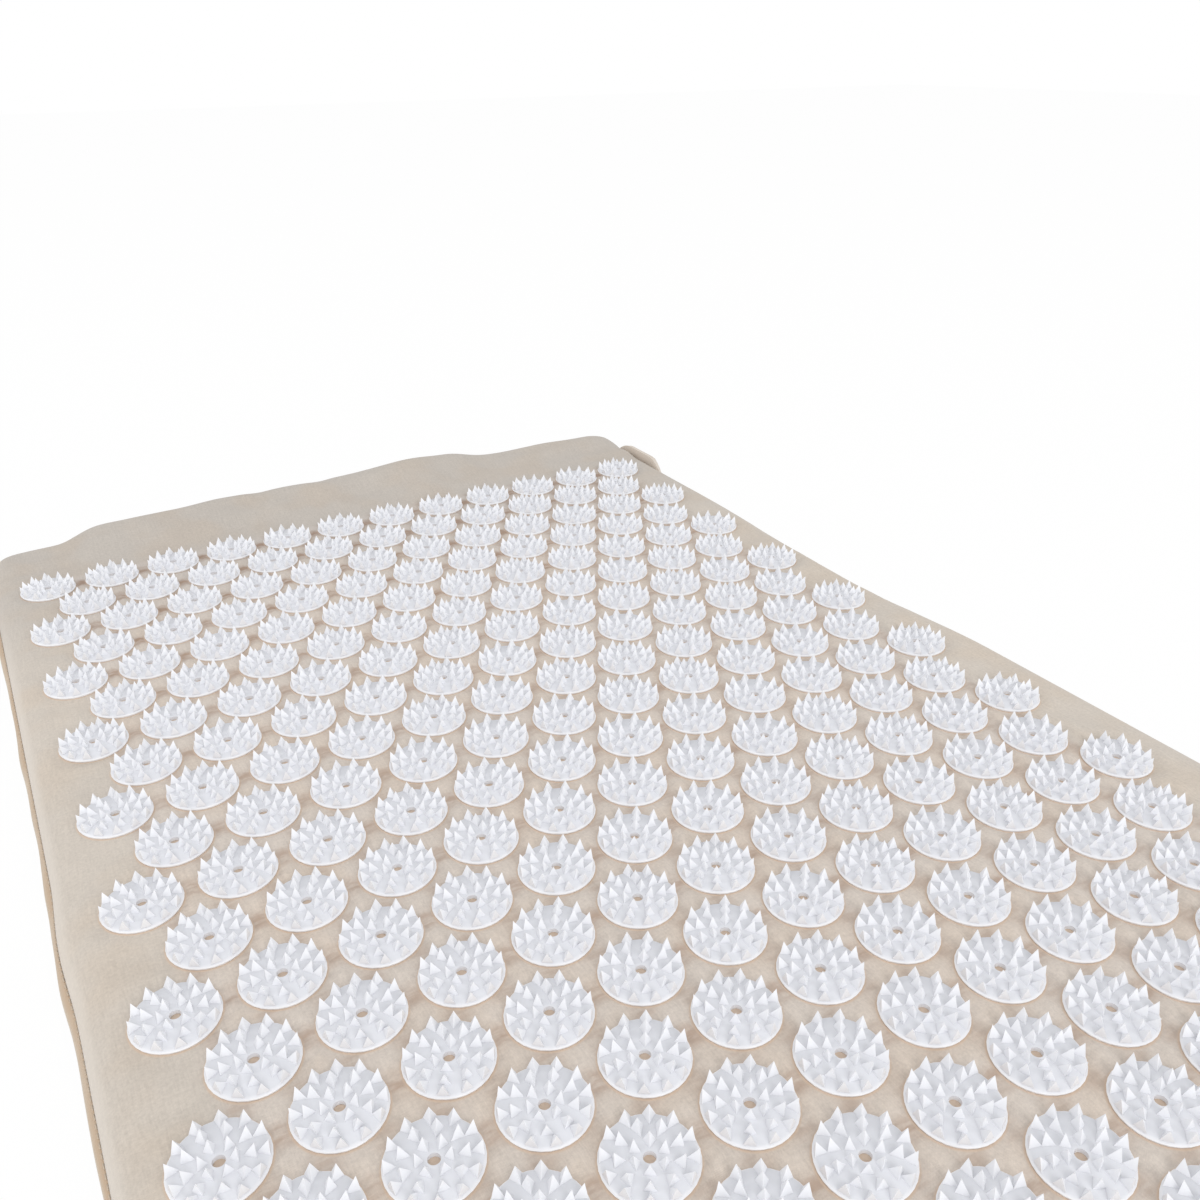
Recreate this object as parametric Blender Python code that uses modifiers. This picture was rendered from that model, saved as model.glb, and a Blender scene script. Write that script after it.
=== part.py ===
"""Acupressure mat: a cloth cover round a foam core, with rows of spiked plastic discs and a zip.

Metres, +Z up. X runs across the mat and Y along it, and +Y is the end with the bare margin,
where a zip closes the cover. The origin is on the floor under the middle of the mat.
"""

import math

import bmesh
import bpy
from mathutils import Matrix, Vector

mm = 0.001

# Disc pattern: staggered rows, so each disc has six neighbours at one pitch
disc_pitch = 33.0 * mm
long_row_disc_count = 12
row_count = 20
row_spacing = disc_pitch * math.sqrt(3.0) / 2.0

# One disc, whose narrow facets towards its neighbours carry the necks that join a row
disc_radius = 14.0 * mm
plate_height = 1.6 * mm
plate_top_radius = 9.5 * mm
middle_dip = 0.4 * mm
spike_tip_radius = 13.2 * mm
inner_spike_tip_radius = 7.2 * mm
spike_height = 3.3 * mm
spikes_each_side = 4
neck_half_angle = math.radians(5.0)

# Cloth, foam and the gap that touching pieces keep
cloth_thickness = 0.8 * mm
foam_thickness = 20.0 * mm
touch_gap = 0.3 * mm
crown_height = 3.0 * mm

# Outline of the cover at its side seam
side_margin = 26.0 * mm
far_margin = 70.0 * mm
near_margin = 53.0 * mm
corner_radius = 22.0 * mm
side_draw_in = 1.5 * mm
seam_height = 15.0 * mm
seam_drop = 1.2 * mm
seam_thread_radius = 0.3 * mm
side_shoulder_run = 10.0 * mm
far_shoulder_run = 28.0 * mm
slack_height = 2.5 * mm
slack_wavelength = 118.0 * mm
slack_start_gap = 2.0 * mm

# Under panel: its side bulges out past the seam, most of all in the loose far right corner
side_bulge = 4.0 * mm
bulge_height = 8.0 * mm
low_bulge = 1.0 * mm
low_bulge_height = 2.0 * mm
flat_inset = 7.0 * mm
loose_corner_bulge = 6.0 * mm
loose_corner_half_length = 34.0 * mm
loose_corner_from_end = 52.0 * mm

# Foam core, cut smaller than its cover
foam_inset = 4.0 * mm
foam_lower_inset = 8.0 * mm
foam_far_inset = 16.0 * mm
foam_top_drop = 1.7 * mm

# Zip in the far end wall
window_end_margin = 22.5 * mm
window_low = 4.0 * mm
window_slope_run = 3.0 * mm
window_wall_low = 1.5 * mm
window_wall_mid = 2.8 * mm
chain_end_margin = 3.0 * mm
tape_thickness = 0.5 * mm
tape_setback = 0.8 * mm
tape_edge_gap = 1.0 * mm
bead_width = 1.9 * mm
bead_thickness = 1.6 * mm
bead_bevel = 0.4 * mm
chain_slot = 1.4 * mm
stop_length = 2.0 * mm
stop_thickness = 2.0 * mm
slider_end_clearance = 5.0 * mm
slider_length = 10.0 * mm
slider_wall = 0.8 * mm
slider_flange = 0.7 * mm
post_width = 0.8 * mm
post_length = 1.5 * mm
post_setback = 0.8 * mm
joining_overlap = 0.2 * mm

# Bridge on the slider, and the pull tab whose crossbar turns under it
bridge_span = 7.6 * mm
bridge_width = 1.8 * mm
bridge_wall = 0.8 * mm
bridge_clearance = 1.45 * mm
pull_thickness = 0.9 * mm
pull_lift = 0.25 * mm
pull_width = 6.0 * mm
pull_eye_width = 3.0 * mm
pull_eye_length = 5.2 * mm
pull_length = 22.0 * mm
pull_round_steps = 4

# How finely the cloth is divided
shoulder_steps = 3
far_shoulder_steps = 4
across_cell_count = 12
along_cell_count = 13
slack_cell_count = 2
corner_steps = 3
side_thread_step_count = 8
near_thread_step_count = 2
full_turn = 2.0 * math.pi

# Sizes that follow from the ones above
half_width = (long_row_disc_count - 1) * disc_pitch / 2.0 + side_margin
pattern_length = (row_count - 1) * row_spacing
half_length = (pattern_length + far_margin + near_margin) / 2.0
first_row_y = half_length - far_margin
slack_start_y = first_row_y + disc_radius + slack_start_gap
far_flat_y = half_length - far_shoulder_run
shoulder_height = 2.0 * (cloth_thickness + touch_gap) + foam_thickness
window_half_length = half_width - corner_radius - window_end_margin
chain_half_length = window_half_length - chain_end_margin
chain_height = (window_low + touch_gap + seam_height - tape_edge_gap) / 2.0
tape_middle_y = half_length - tape_setback - tape_thickness / 2.0
bead_outer = chain_slot / 2.0 + bead_width
slider_rest_x = chain_half_length - slider_length / 2.0 - slider_end_clearance
plate_outer_y = bead_thickness / 2.0 + touch_gap + slider_wall
pull_axis_y = tape_middle_y + plate_outer_y + pull_lift + pull_thickness / 2.0


def clear_scene():
    for old in list(bpy.data.objects):
        bpy.data.objects.remove(old, do_unlink=True)


def make_collections():
    part = bpy.data.collections.new("acupressure_mat")
    cutters = bpy.data.collections.new("construction_shapes")
    for collection in (part, cutters):
        bpy.context.scene.collection.children.link(collection)
    return part, cutters


def make_material(name, colour, roughness, metallic=0.0):
    material = bpy.data.materials.new(name)
    material.use_nodes = True
    shader = material.node_tree.nodes["Principled BSDF"]
    shader.inputs["Base Color"].default_value = (*colour, 1.0)
    shader.inputs["Roughness"].default_value = roughness
    shader.inputs["Metallic"].default_value = metallic
    return material


def finish_object(name, mesh, material, collection, parent=None, place=None):
    """Turns a bmesh into a named object, and puts it at its place under its parent."""
    data = bpy.data.meshes.new(name)
    mesh.to_mesh(data)
    mesh.free()
    data.materials.append(material)
    made = bpy.data.objects.new(name, data)
    collection.objects.link(made)
    made.parent = parent
    made.location = place if place else Vector()
    return made


def make_empty(name, place, collection, parent=None):
    empty = bpy.data.objects.new(name, None)
    empty.location = place
    empty.parent = parent
    collection.objects.link(empty)
    return empty


def solidify(made, thickness):
    wall = made.modifiers.new("Cloth", "SOLIDIFY")
    wall.thickness = thickness
    wall.offset = -1.0


def union(made, other):
    joined = made.modifiers.new("Joined", "BOOLEAN")
    joined.operation = "UNION"
    joined.solver = "EXACT"
    joined.object = other


def add_box(mesh, low, high):
    """One box between two corners, as a cube primitive."""
    size = Vector(high) - Vector(low)
    middle = (Vector(high) + Vector(low)) / 2.0
    made = bmesh.ops.create_cube(mesh, size=1.0)
    bmesh.ops.scale(mesh, vec=size, verts=made["verts"])
    bmesh.ops.translate(mesh, vec=middle, verts=made["verts"])
    return made["verts"]


# Shape of the cover
def rounded_corner(x, y, half_x, half_y, radius):
    """Moves a point of a rectangle to the same rectangle with round corners."""
    over_x = abs(x) - (half_x - radius)
    over_y = abs(y) - (half_y - radius)
    if over_x <= 0.0 or over_y <= 0.0:
        return x, y
    bent_x = over_x * math.sqrt(1.0 - 0.5 * (over_y / radius) ** 2)
    bent_y = over_y * math.sqrt(1.0 - 0.5 * (over_x / radius) ** 2)
    return (
        math.copysign(half_x - radius + bent_x, x),
        math.copysign(half_y - radius + bent_y, y),
    )


def drawn_in(x, y):
    """The long sides pull in a little between the corners."""
    along = 1.0 - (y / half_length) ** 2
    return x - side_draw_in * along * (x / half_width) ** 3


def crown_at(x, y):
    across = 1.0 - min(abs(x) / half_width, 1.0) ** 2
    along = 1.0 - min(abs(y) / half_length, 1.0) ** 4
    return crown_height * across * along


def slack_at(x, y):
    """Loose cloth lifts in low waves over the bare far margin."""
    rise = min(max((y - slack_start_y) / (far_flat_y - slack_start_y), 0.0), 1.0)
    wave = 0.5 + 0.5 * math.cos(full_turn * x / slack_wavelength)
    across = 1.0 - (abs(x) / half_width) ** 2
    return slack_height * rise * wave * across


def shoulder_share(distance, run):
    """Height of a round shoulder, from 0 at the seam to 1 where the flat top starts."""
    if distance >= run:
        return 1.0
    return math.sqrt(max(1.0 - (1.0 - distance / run) ** 2, 0.0))


def top_point(x, y):
    """The outer cloth surface above one point of the plan, before its corners are rounded."""
    side = shoulder_share(half_width - abs(x), side_shoulder_run)
    far = shoulder_share(half_length - y, far_shoulder_run)
    near = shoulder_share(half_length + y, side_shoulder_run)
    crest = shoulder_height + crown_at(x, y) + slack_at(x, y)
    height = seam_height + (crest - seam_height) * side * far * near
    plan_x, plan_y = rounded_corner(x, y, half_width, half_length, corner_radius)
    return Vector((drawn_in(plan_x, plan_y), plan_y, height))


def shoulder_places(run, steps):
    """Distances in from the seam that divide a round shoulder evenly."""
    angles = [0.5 * math.pi * step / steps for step in range(steps)]
    return [run * (1.0 - math.cos(angle)) for angle in angles]


def evenly(low, high, cells):
    return [low + (high - low) * cell / cells for cell in range(cells + 1)]


def lines_across():
    edge = shoulder_places(side_shoulder_run, shoulder_steps)
    flat = half_width - side_shoulder_run
    left = [-half_width + place for place in edge]
    right = [half_width - place for place in reversed(edge)]
    return left + evenly(-flat, flat, across_cell_count) + right


def lines_along():
    near = shoulder_places(side_shoulder_run, shoulder_steps)
    far = shoulder_places(far_shoulder_run, far_shoulder_steps)
    start = [-half_length + place for place in near]
    flat = evenly(-half_length + side_shoulder_run, slack_start_y, along_cell_count)
    slack = evenly(slack_start_y, far_flat_y, slack_cell_count)
    end = [half_length - place for place in reversed(far)]
    return start + flat[:-1] + slack + end


def shaped_grid(columns, rows, point_at):
    """A grid primitive whose vertices are moved to point_at(column, row)."""
    mesh = bmesh.new()
    bmesh.ops.create_grid(mesh, x_segments=columns, y_segments=rows, size=1.0)
    for vertex in mesh.verts:
        column = round((vertex.co.x + 1.0) / 2.0 * columns)
        row = round((vertex.co.y + 1.0) / 2.0 * rows)
        vertex.co = point_at(column, row)
    return mesh


def make_top_panel(material, collection):
    across = lines_across()
    along = lines_along()
    mesh = shaped_grid(
        len(across) - 1, len(along) - 1, lambda column, row: top_point(across[column], along[row])
    )
    panel = finish_object("cover_top_panel", mesh, material, collection)
    solidify(panel, cloth_thickness)
    panel.data.shade_smooth()


# Under panel, as rings that rise from its flat middle to the seam
def outline_places():
    """Points of the rectangle through the seam, once round from the far left corner."""
    bends = shoulder_places(corner_radius, corner_steps)
    straight_x = half_width - corner_radius
    straight_y = half_length - corner_radius
    window_end = window_half_length + window_slope_run
    left_bend = [-half_width + place for place in bends]
    right_bend = [half_width - place for place in reversed(bends)]
    far_x = [-straight_x, -window_end] + evenly(-window_half_length, window_half_length, 4)
    far_line = left_bend + far_x + [window_end, straight_x] + right_bend
    near_line = left_bend + evenly(-straight_x, straight_x, 4) + right_bend
    low_bend = [-half_length + place for place in bends]
    high_bend = [half_length - place for place in reversed(bends)]
    side_line = low_bend + evenly(-straight_y, straight_y, along_cell_count) + high_bend
    far = [(x, half_length) for x in far_line]
    right = [(half_width, y) for y in reversed(side_line)]
    near = [(x, -half_length) for x in reversed(near_line)]
    left = [(-half_width, y) for y in side_line]
    return far[:-1] + right[:-1] + near[:-1] + left[:-1]


def far_wall_share(x, y):
    """1 on the straight far wall, falling to 0 round the corners."""
    if y < half_length:
        return 0.0
    past = (abs(x) - (half_width - corner_radius)) / corner_radius
    return 1.0 - min(max(past, 0.0), 1.0)


def window_share(x, y):
    """1 along the zip, falling to 0 just past its ends."""
    if y < half_length:
        return 0.0
    past = (abs(x) - window_half_length) / window_slope_run
    return 1.0 - min(max(past, 0.0), 1.0)


def loose_corner_share(x, y):
    """1 where the far right corner of the cover is least filled."""
    if x < half_width:
        return 0.0
    away = (y - (half_length - loose_corner_from_end)) / loose_corner_half_length
    return max(1.0 - away**2, 0.0)


def mixed(first, second, share):
    return first + (second - first) * share


def under_point(place, ring):
    """One point of the under panel: rings run from its flat middle up to the seam."""
    x, y = place
    far = far_wall_share(x, y)
    window = window_share(x, y)
    bulge = side_bulge + loose_corner_bulge * loose_corner_share(x, y)
    outsets = (-flat_inset, low_bulge, bulge, 0.0)
    far_outsets = (-flat_inset, 0.0, 0.0, 0.0)
    heights = (0.0, low_bulge_height, bulge_height, seam_height - seam_drop)
    window_heights = (0.0, window_wall_low, window_wall_mid, window_low)
    outset = mixed(outsets[ring], far_outsets[ring], far)
    height = mixed(heights[ring], window_heights[ring], window)
    half_x = half_width + outset
    half_y = half_length + outset
    plan_x, plan_y = rounded_corner(
        x * half_x / half_width, y * half_y / half_length, half_x, half_y, corner_radius + outset
    )
    return Vector((drawn_in(plan_x, plan_y), plan_y, height))


def make_bottom_panel(material, collection):
    places = outline_places()
    count = len(places)
    rings = 3
    mesh = shaped_grid(count, rings, lambda column, row: under_point(places[column % count], row))
    bmesh.ops.remove_doubles(mesh, verts=mesh.verts, dist=touch_gap / 10.0)
    floor_edges = [e for e in mesh.edges if e.is_boundary and max(v.co.z for v in e.verts) < touch_gap]
    bmesh.ops.contextual_create(mesh, geom=floor_edges)
    bmesh.ops.recalc_face_normals(mesh, faces=mesh.faces)
    if sum(face.normal.z * face.calc_area() for face in mesh.faces) > 0.0:
        bmesh.ops.reverse_faces(mesh, faces=mesh.faces)
    panel = finish_object("cover_bottom_panel", mesh, material, collection)
    solidify(panel, cloth_thickness)
    return panel


def make_seam_thread(name, places, material, collection):
    """A run of sewing thread that lies in the crease between the two panels."""
    curve = bpy.data.curves.new(name, "CURVE")
    curve.dimensions = "3D"
    curve.bevel_depth = seam_thread_radius
    curve.bevel_resolution = 0
    curve.use_fill_caps = True
    curve.materials.append(material)
    spline = curve.splines.new("POLY")
    spline.points.add(len(places) - 1)
    for point, place in zip(spline.points, places):
        point.co = (*(under_point(place, 3) + Vector((0.0, 0.0, seam_drop / 2.0))), 1.0)
    thread = bpy.data.objects.new(name, curve)
    collection.objects.link(thread)


def make_seam_threads(material, collection):
    """The seam runs down both long sides and round the near end."""
    straight_x = half_width - corner_radius
    straight_y = half_length - corner_radius
    side = evenly(-straight_y, straight_y, side_thread_step_count)
    bends = shoulder_places(corner_radius, corner_steps)
    rise = [-half_length + place for place in bends]
    inward = [half_width - place for place in bends]
    start = -straight_y - touch_gap
    corner = [(half_width, start)]
    corner += [(half_width, y) for y in reversed(rise)] + [(x, -half_length) for x in inward[1:]]
    middle = [(x, -half_length) for x in evenly(straight_x, -straight_x, near_thread_step_count)]
    near = corner + middle + [(-x, y) for x, y in reversed(corner)]
    make_seam_thread("seam_thread_right", [(half_width, y) for y in side], material, collection)
    make_seam_thread("seam_thread_left", [(-half_width, y) for y in side], material, collection)
    make_seam_thread("seam_thread_near", near, material, collection)


def make_foam(material, collection):
    """The core follows the crown of the cover, and its far end stops short of the zip."""
    across = lines_across()
    along = lines_along()
    scale_x = (half_width - foam_inset) / half_width
    low_y = -half_length + foam_inset
    high_y = half_length - foam_far_inset

    def foam_point(column, row):
        share = (along[row] + half_length) / (2.0 * half_length)
        x = across[column]
        y = mixed(low_y, high_y, share)
        side = shoulder_share(half_width - abs(x), side_shoulder_run)
        near = shoulder_share(half_length + along[row], side_shoulder_run)
        far = shoulder_share(half_length - along[row], far_shoulder_run)
        crest = shoulder_height + crown_at(x, y)
        reach = shoulder_share(half_length - y, far_shoulder_run)
        crest = seam_height + (crest - seam_height) * reach
        height = seam_height + (crest - seam_height) * side * near * far - foam_top_drop
        plan_x, plan_y = rounded_corner(x, along[row], half_width, half_length, corner_radius)
        plan_y = mixed(low_y, high_y, (plan_y + half_length) / (2.0 * half_length))
        return Vector((drawn_in(plan_x, plan_y) * scale_x, plan_y, height))

    mesh = shaped_grid(len(across) - 1, len(along) - 1, foam_point)
    rim = [edge for edge in mesh.edges if edge.is_boundary]
    walls = bmesh.ops.extrude_edge_only(mesh, edges=rim)["geom"]
    lower = [item for item in walls if isinstance(item, bmesh.types.BMVert)]
    narrow = (half_width - foam_lower_inset) / (half_width - foam_inset)
    short = (half_length - foam_lower_inset) / (half_length - foam_inset)
    for vertex in lower:
        vertex.co.x *= narrow
        vertex.co.y *= short
        vertex.co.z = cloth_thickness + touch_gap
    bmesh.ops.contextual_create(mesh, geom=[edge for edge in mesh.edges if edge.is_boundary])
    bmesh.ops.recalc_face_normals(mesh, faces=mesh.faces)
    return finish_object("foam_core", mesh, material, collection)


# Disc rows
def facet_angles():
    """Rim angles once round, with a narrow facet towards +X and one towards -X."""
    wide = (math.pi - 2.0 * neck_half_angle) / spikes_each_side
    upper = [neck_half_angle + wide * step for step in range(spikes_each_side + 1)]
    return upper + [angle + math.pi for angle in upper]


def turned_place(radius, angle, height):
    return Vector((radius * math.cos(angle), radius * math.sin(angle), height))


def angle_of(place):
    return math.atan2(place.y, place.x)


def raise_spike(mesh, face, tip_radius):
    """Pulls the middle of one triangle up into the tip of a spike."""
    angle = angle_of(face.calc_center_median())
    apex = bmesh.ops.poke(mesh, faces=[face])["verts"][0]
    apex.co = turned_place(tip_radius, angle, plate_height + spike_height)
    return apex


def add_disc(mesh, frame):
    """Adds a disc: a low cone whose side and top are cut into triangles and pulled up into spikes.

    Returns the two facets that face along the row.
    """
    rim_angles = facet_angles()
    count = len(rim_angles)
    made = bmesh.ops.create_cone(
        mesh,
        cap_ends=True,
        cap_tris=False,
        segments=count,
        radius1=disc_radius,
        radius2=plate_top_radius,
        depth=plate_height,
    )["verts"]
    low = [vertex for vertex in made if vertex.co.z < 0.0]
    high = [vertex for vertex in made if vertex.co.z > 0.0]
    quarter_step = full_turn / count / 4.0
    for vertex in made:
        turn = (math.atan2(vertex.co.y, vertex.co.x) + quarter_step) % full_turn
        step = int(turn / full_turn * count)
        if vertex in low:
            vertex.co = turned_place(disc_radius, rim_angles[step], 0.0)
        else:
            vertex.co = turned_place(plate_top_radius, full_turn * (step + 1) / count, plate_height)
    for face in {face for vertex in high for face in vertex.link_faces if len(face.verts) == 4}:
        feet = [vertex for vertex in face.verts if vertex in low]
        crest = [vertex for vertex in face.verts if vertex in high]
        middle = (feet[0].co + feet[1].co) / 2.0
        nearest = min(crest, key=lambda vertex: (vertex.co - middle).length)
        joined = [edge.other_vert(nearest) for edge in nearest.link_edges]
        across = [foot for foot in feet if foot not in joined]
        bmesh.ops.connect_verts(mesh, verts=[nearest, across[0]])
    facets = [f for v in high for f in v.link_faces if sum(c in low for c in f.verts) == 2]
    top = [face for face in high[0].link_faces if all(corner in high for corner in face.verts)]
    fan = bmesh.ops.poke(mesh, faces=top)
    fan["verts"][0].co = turned_place(0.0, 0.0, plate_height - middle_dip)
    made += fan["verts"]
    wedges = sorted(fan["faces"], key=lambda face: angle_of(face.calc_center_median()))
    for wedge in wedges[::2]:
        made.append(raise_spike(mesh, wedge, inner_spike_tip_radius))
    necks = []
    for face in facets:
        if abs(math.sin(angle_of(face.calc_center_median()))) < math.sin(neck_half_angle):
            necks.append(face)
            continue
        made.append(raise_spike(mesh, face, spike_tip_radius))
    bmesh.ops.transform(mesh, matrix=frame, verts=made)
    return sorted(necks, key=lambda facet: facet.calc_center_median().x)


def seat_frame(x, y):
    """Where a disc sits: on the cloth, tilted with it, a touching gap above."""
    step = disc_radius
    rise_x = (top_point(x + step, y) - top_point(x - step, y)).normalized()
    rise_y = (top_point(x, y + step) - top_point(x, y - step)).normalized()
    up = rise_x.cross(rise_y).normalized()
    sideways = rise_y.cross(up).normalized()
    turn = Matrix((sideways, up.cross(sideways), up)).transposed().to_4x4()
    height = shoulder_height + crown_at(x, y)
    return Matrix.Translation(Vector((x, y, height)) + up * touch_gap) @ turn


def make_disc_row(number, material, collection):
    """One row of discs, each joined to the next by a low neck between their rims."""
    discs = long_row_disc_count - number % 2
    row_y = first_row_y - number * row_spacing
    origin = Vector((0.0, row_y, 0.0))
    mesh = bmesh.new()
    previous = None
    for index in range(discs):
        x = (index - (discs - 1) / 2.0) * disc_pitch
        frame = Matrix.Translation(-origin) @ seat_frame(x, row_y)
        left, right = add_disc(mesh, frame)
        if previous is not None:
            edges = list(previous.edges) + list(left.edges)
            bmesh.ops.delete(mesh, geom=[previous, left], context="FACES_ONLY")
            bmesh.ops.bridge_loops(mesh, edges=edges)
        previous = right
    bmesh.ops.recalc_face_normals(mesh, faces=mesh.faces)
    finish_object(f"disc_row_{number + 1:02d}", mesh, material, collection, place=origin)


# Zip
def make_tape(name, low, high, material, collection):
    mesh = bmesh.new()
    half = tape_thickness / 2.0
    corner = (-window_half_length, -half, low)
    opposite = (window_half_length, half, high)
    add_box(mesh, corner, opposite)
    finish_object(name, mesh, material, collection, place=Vector((0.0, tape_middle_y, 0.0)))


def make_bead(name, side, material, collection):
    """One side of the chain, as the outer shape of its coil."""
    inner = chain_height + side * chain_slot / 2.0
    outer = chain_height + side * bead_outer
    mesh = bmesh.new()
    half = bead_thickness / 2.0
    low = (-chain_half_length, -half, min(inner, outer))
    high = (chain_half_length, half, max(inner, outer))
    add_box(mesh, low, high)
    long_edges = [edge for edge in mesh.edges if edge.calc_length() > chain_half_length]
    bmesh.ops.bevel(
        mesh,
        geom=long_edges,
        offset=bead_bevel,
        segments=1,
        affect="EDGES",
        profile=0.5,
        material=-1,
    )
    finish_object(name, mesh, material, collection, place=Vector((0.0, tape_middle_y, 0.0)))


def make_stop(name, end, low, high, material, collection):
    """A metal end stop, clamped just past the end of the chain."""
    start = chain_half_length + touch_gap
    near = end * start
    away = end * (start + stop_length)
    half = stop_thickness / 2.0
    mesh = bmesh.new()
    add_box(mesh, (min(near, away), -half, low), (max(near, away), half, high))
    bmesh.ops.bevel(
        mesh,
        geom=list(mesh.edges),
        offset=bead_bevel,
        segments=1,
        affect="EDGES",
        profile=0.5,
        material=-1,
    )
    finish_object(name, mesh, material, collection, place=Vector((0.0, tape_middle_y, 0.0)))


def add_channel(mesh, side):
    """One plate of the slider with its two flanges, as a section pushed along X."""
    inner_z = bead_outer + touch_gap
    outer_z = inner_z + slider_flange
    slot_y = tape_thickness / 2.0 + touch_gap
    plate_y = bead_thickness / 2.0 + touch_gap
    add_box(
        mesh,
        (-slider_length / 2.0, min(side * plate_y, side * plate_outer_y), -outer_z),
        (slider_length / 2.0, max(side * plate_y, side * plate_outer_y), outer_z),
    )
    walls = []
    for edge in (-1.0, 1.0):
        low = min(edge * inner_z, edge * outer_z)
        high = max(edge * inner_z, edge * outer_z)
        deep = side * (plate_y + joining_overlap)
        walls.append(
            (
                (-slider_length / 2.0, min(side * slot_y, deep), low),
                (slider_length / 2.0, max(side * slot_y, deep), high),
            )
        )
    return walls


def make_shape(name, mesh, material, cutters, parent):
    """A shape that is joined into the slider, kept out of the part."""
    shape = finish_object(name, mesh, material, cutters, parent=parent)
    shape.hide_render = True
    shape.display_type = "WIRE"
    return shape


def make_slider(material, collection, cutters, carriage):
    """The slider's two plates, held together by the post that runs between the coils."""
    mesh = bmesh.new()
    flanges = add_channel(mesh, 1.0)
    body = finish_object("zip_slider_body", mesh, material, collection, parent=carriage)
    inner = bmesh.new()
    flanges += add_channel(inner, -1.0)
    union(body, make_shape("slider_inner_plate", inner, material, cutters, carriage))
    plate_y = bead_thickness / 2.0 + touch_gap + joining_overlap
    post_end = slider_length / 2.0 - post_setback
    post = bmesh.new()
    add_box(
        post,
        (post_end - post_length, -plate_y, -post_width / 2.0),
        (post_end, plate_y, post_width / 2.0),
    )
    union(body, make_shape("slider_post", post, material, cutters, carriage))
    for number, (low, high) in enumerate(flanges):
        flange = bmesh.new()
        add_box(flange, low, high)
        union(body, make_shape(f"slider_flange_{number + 1}", flange, material, cutters, carriage))
    union(body, make_bridge(material, cutters, carriage))


def make_bridge(material, cutters, carriage):
    """The arch on the slider's outer plate, as an outline pushed across its width."""
    half = bridge_span / 2.0
    foot = plate_outer_y - joining_overlap
    under = plate_outer_y + bridge_clearance
    top = under + bridge_wall
    outline = (
        (-half, foot),
        (-half + bridge_wall, foot),
        (-half + bridge_wall, under),
        (half - bridge_wall, under),
        (half - bridge_wall, foot),
        (half, foot),
        (half, under),
        (half - bridge_wall, top),
        (-half + bridge_wall, top),
        (-half, under),
    )
    mesh = bmesh.new()
    corners = [mesh.verts.new((x, y, -bridge_width / 2.0)) for x, y in outline]
    mesh.faces.new(corners)
    pushed = bmesh.ops.extrude_face_region(mesh, geom=list(mesh.faces))["geom"]
    moved = [item for item in pushed if isinstance(item, bmesh.types.BMVert)]
    bmesh.ops.translate(mesh, vec=(0.0, 0.0, bridge_width), verts=moved)
    bmesh.ops.recalc_face_normals(mesh, faces=mesh.faces)
    return make_shape("slider_bridge", mesh, material, cutters, carriage)


def make_pull(material, collection, hinge):
    """The pull tab, a flat plate with an eye: the bar across its end turns under the bridge."""
    half_bar = pull_thickness / 2.0
    half_pull = pull_width / 2.0
    half_eye = pull_eye_width / 2.0
    straight = pull_length - half_pull
    outline = [(half_bar, half_pull), (half_bar, -half_pull)]
    for step in range(pull_round_steps + 1):
        angle = -0.5 * math.pi + math.pi * step / pull_round_steps
        outline.append((-straight - half_pull * math.cos(angle), half_pull * math.sin(angle)))
    eye = [
        (-half_bar, -half_eye),
        (-half_bar, half_eye),
        (-half_bar - pull_eye_length, half_eye),
        (-half_bar - pull_eye_length, -half_eye),
    ]
    curve = bpy.data.curves.new("zip_pull_tab", "CURVE")
    curve.dimensions = "2D"
    curve.fill_mode = "BOTH"
    curve.extrude = pull_thickness / 2.0
    for ring in (outline, eye):
        spline = curve.splines.new("POLY")
        spline.points.add(len(ring) - 1)
        for point, (x, y) in zip(spline.points, ring):
            point.co = (x, y, 0.0, 1.0)
        spline.use_cyclic_u = True
    curve.materials.append(material)
    pull = bpy.data.objects.new("zip_pull_tab", curve)
    pull.rotation_euler = (0.5 * math.pi, 0.0, 0.0)
    pull.parent = hinge
    collection.objects.link(pull)


def main():
    clear_scene()
    part, cutters = make_collections()
    cloth = make_material("cotton_cloth", (0.66, 0.58, 0.50), 0.9)
    thread = make_material("sewing_thread", (0.62, 0.54, 0.45), 0.8)
    foam = make_material("white_foam", (0.85, 0.84, 0.80), 0.95)
    plastic = make_material("white_disc_plastic", (0.88, 0.89, 0.92), 0.35)
    tape = make_material("zip_tape", (0.60, 0.52, 0.44), 0.85)
    coil = make_material("zip_coil", (0.64, 0.56, 0.48), 0.5)
    metal = make_material("zip_metal", (0.70, 0.70, 0.70), 0.3, 1.0)

    make_foam(foam, part)
    make_bottom_panel(cloth, part)
    make_top_panel(cloth, part)
    make_seam_threads(thread, part)
    for number in range(row_count):
        make_disc_row(number, plastic, part)

    low_bead = chain_height - bead_outer
    high_bead = chain_height + bead_outer
    make_tape("zip_tape_lower", window_low + touch_gap, low_bead - touch_gap, tape, part)
    make_tape("zip_tape_upper", high_bead + touch_gap, seam_height - tape_edge_gap, tape, part)
    make_bead("zip_coil_lower", -1.0, coil, part)
    make_bead("zip_coil_upper", 1.0, coil, part)
    half_slot = chain_slot / 2.0
    make_stop("zip_bottom_stop", -1.0, low_bead, high_bead, metal, part)
    make_stop("zip_top_stop_lower", 1.0, low_bead, chain_height - half_slot, metal, part)
    make_stop("zip_top_stop_upper", 1.0, chain_height + half_slot, high_bead, metal, part)

    carriage = make_empty("slider_carriage", (slider_rest_x, tape_middle_y, chain_height), part)
    make_slider(metal, part, cutters, carriage)
    hinge_place = (0.0, pull_axis_y - tape_middle_y, 0.0)
    hinge = make_empty("pull_hinge", hinge_place, part, carriage)
    make_pull(metal, part, hinge)


main()
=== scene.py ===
import math
import random

import bmesh
import bpy
from mathutils import Matrix, Vector, noise


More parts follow.
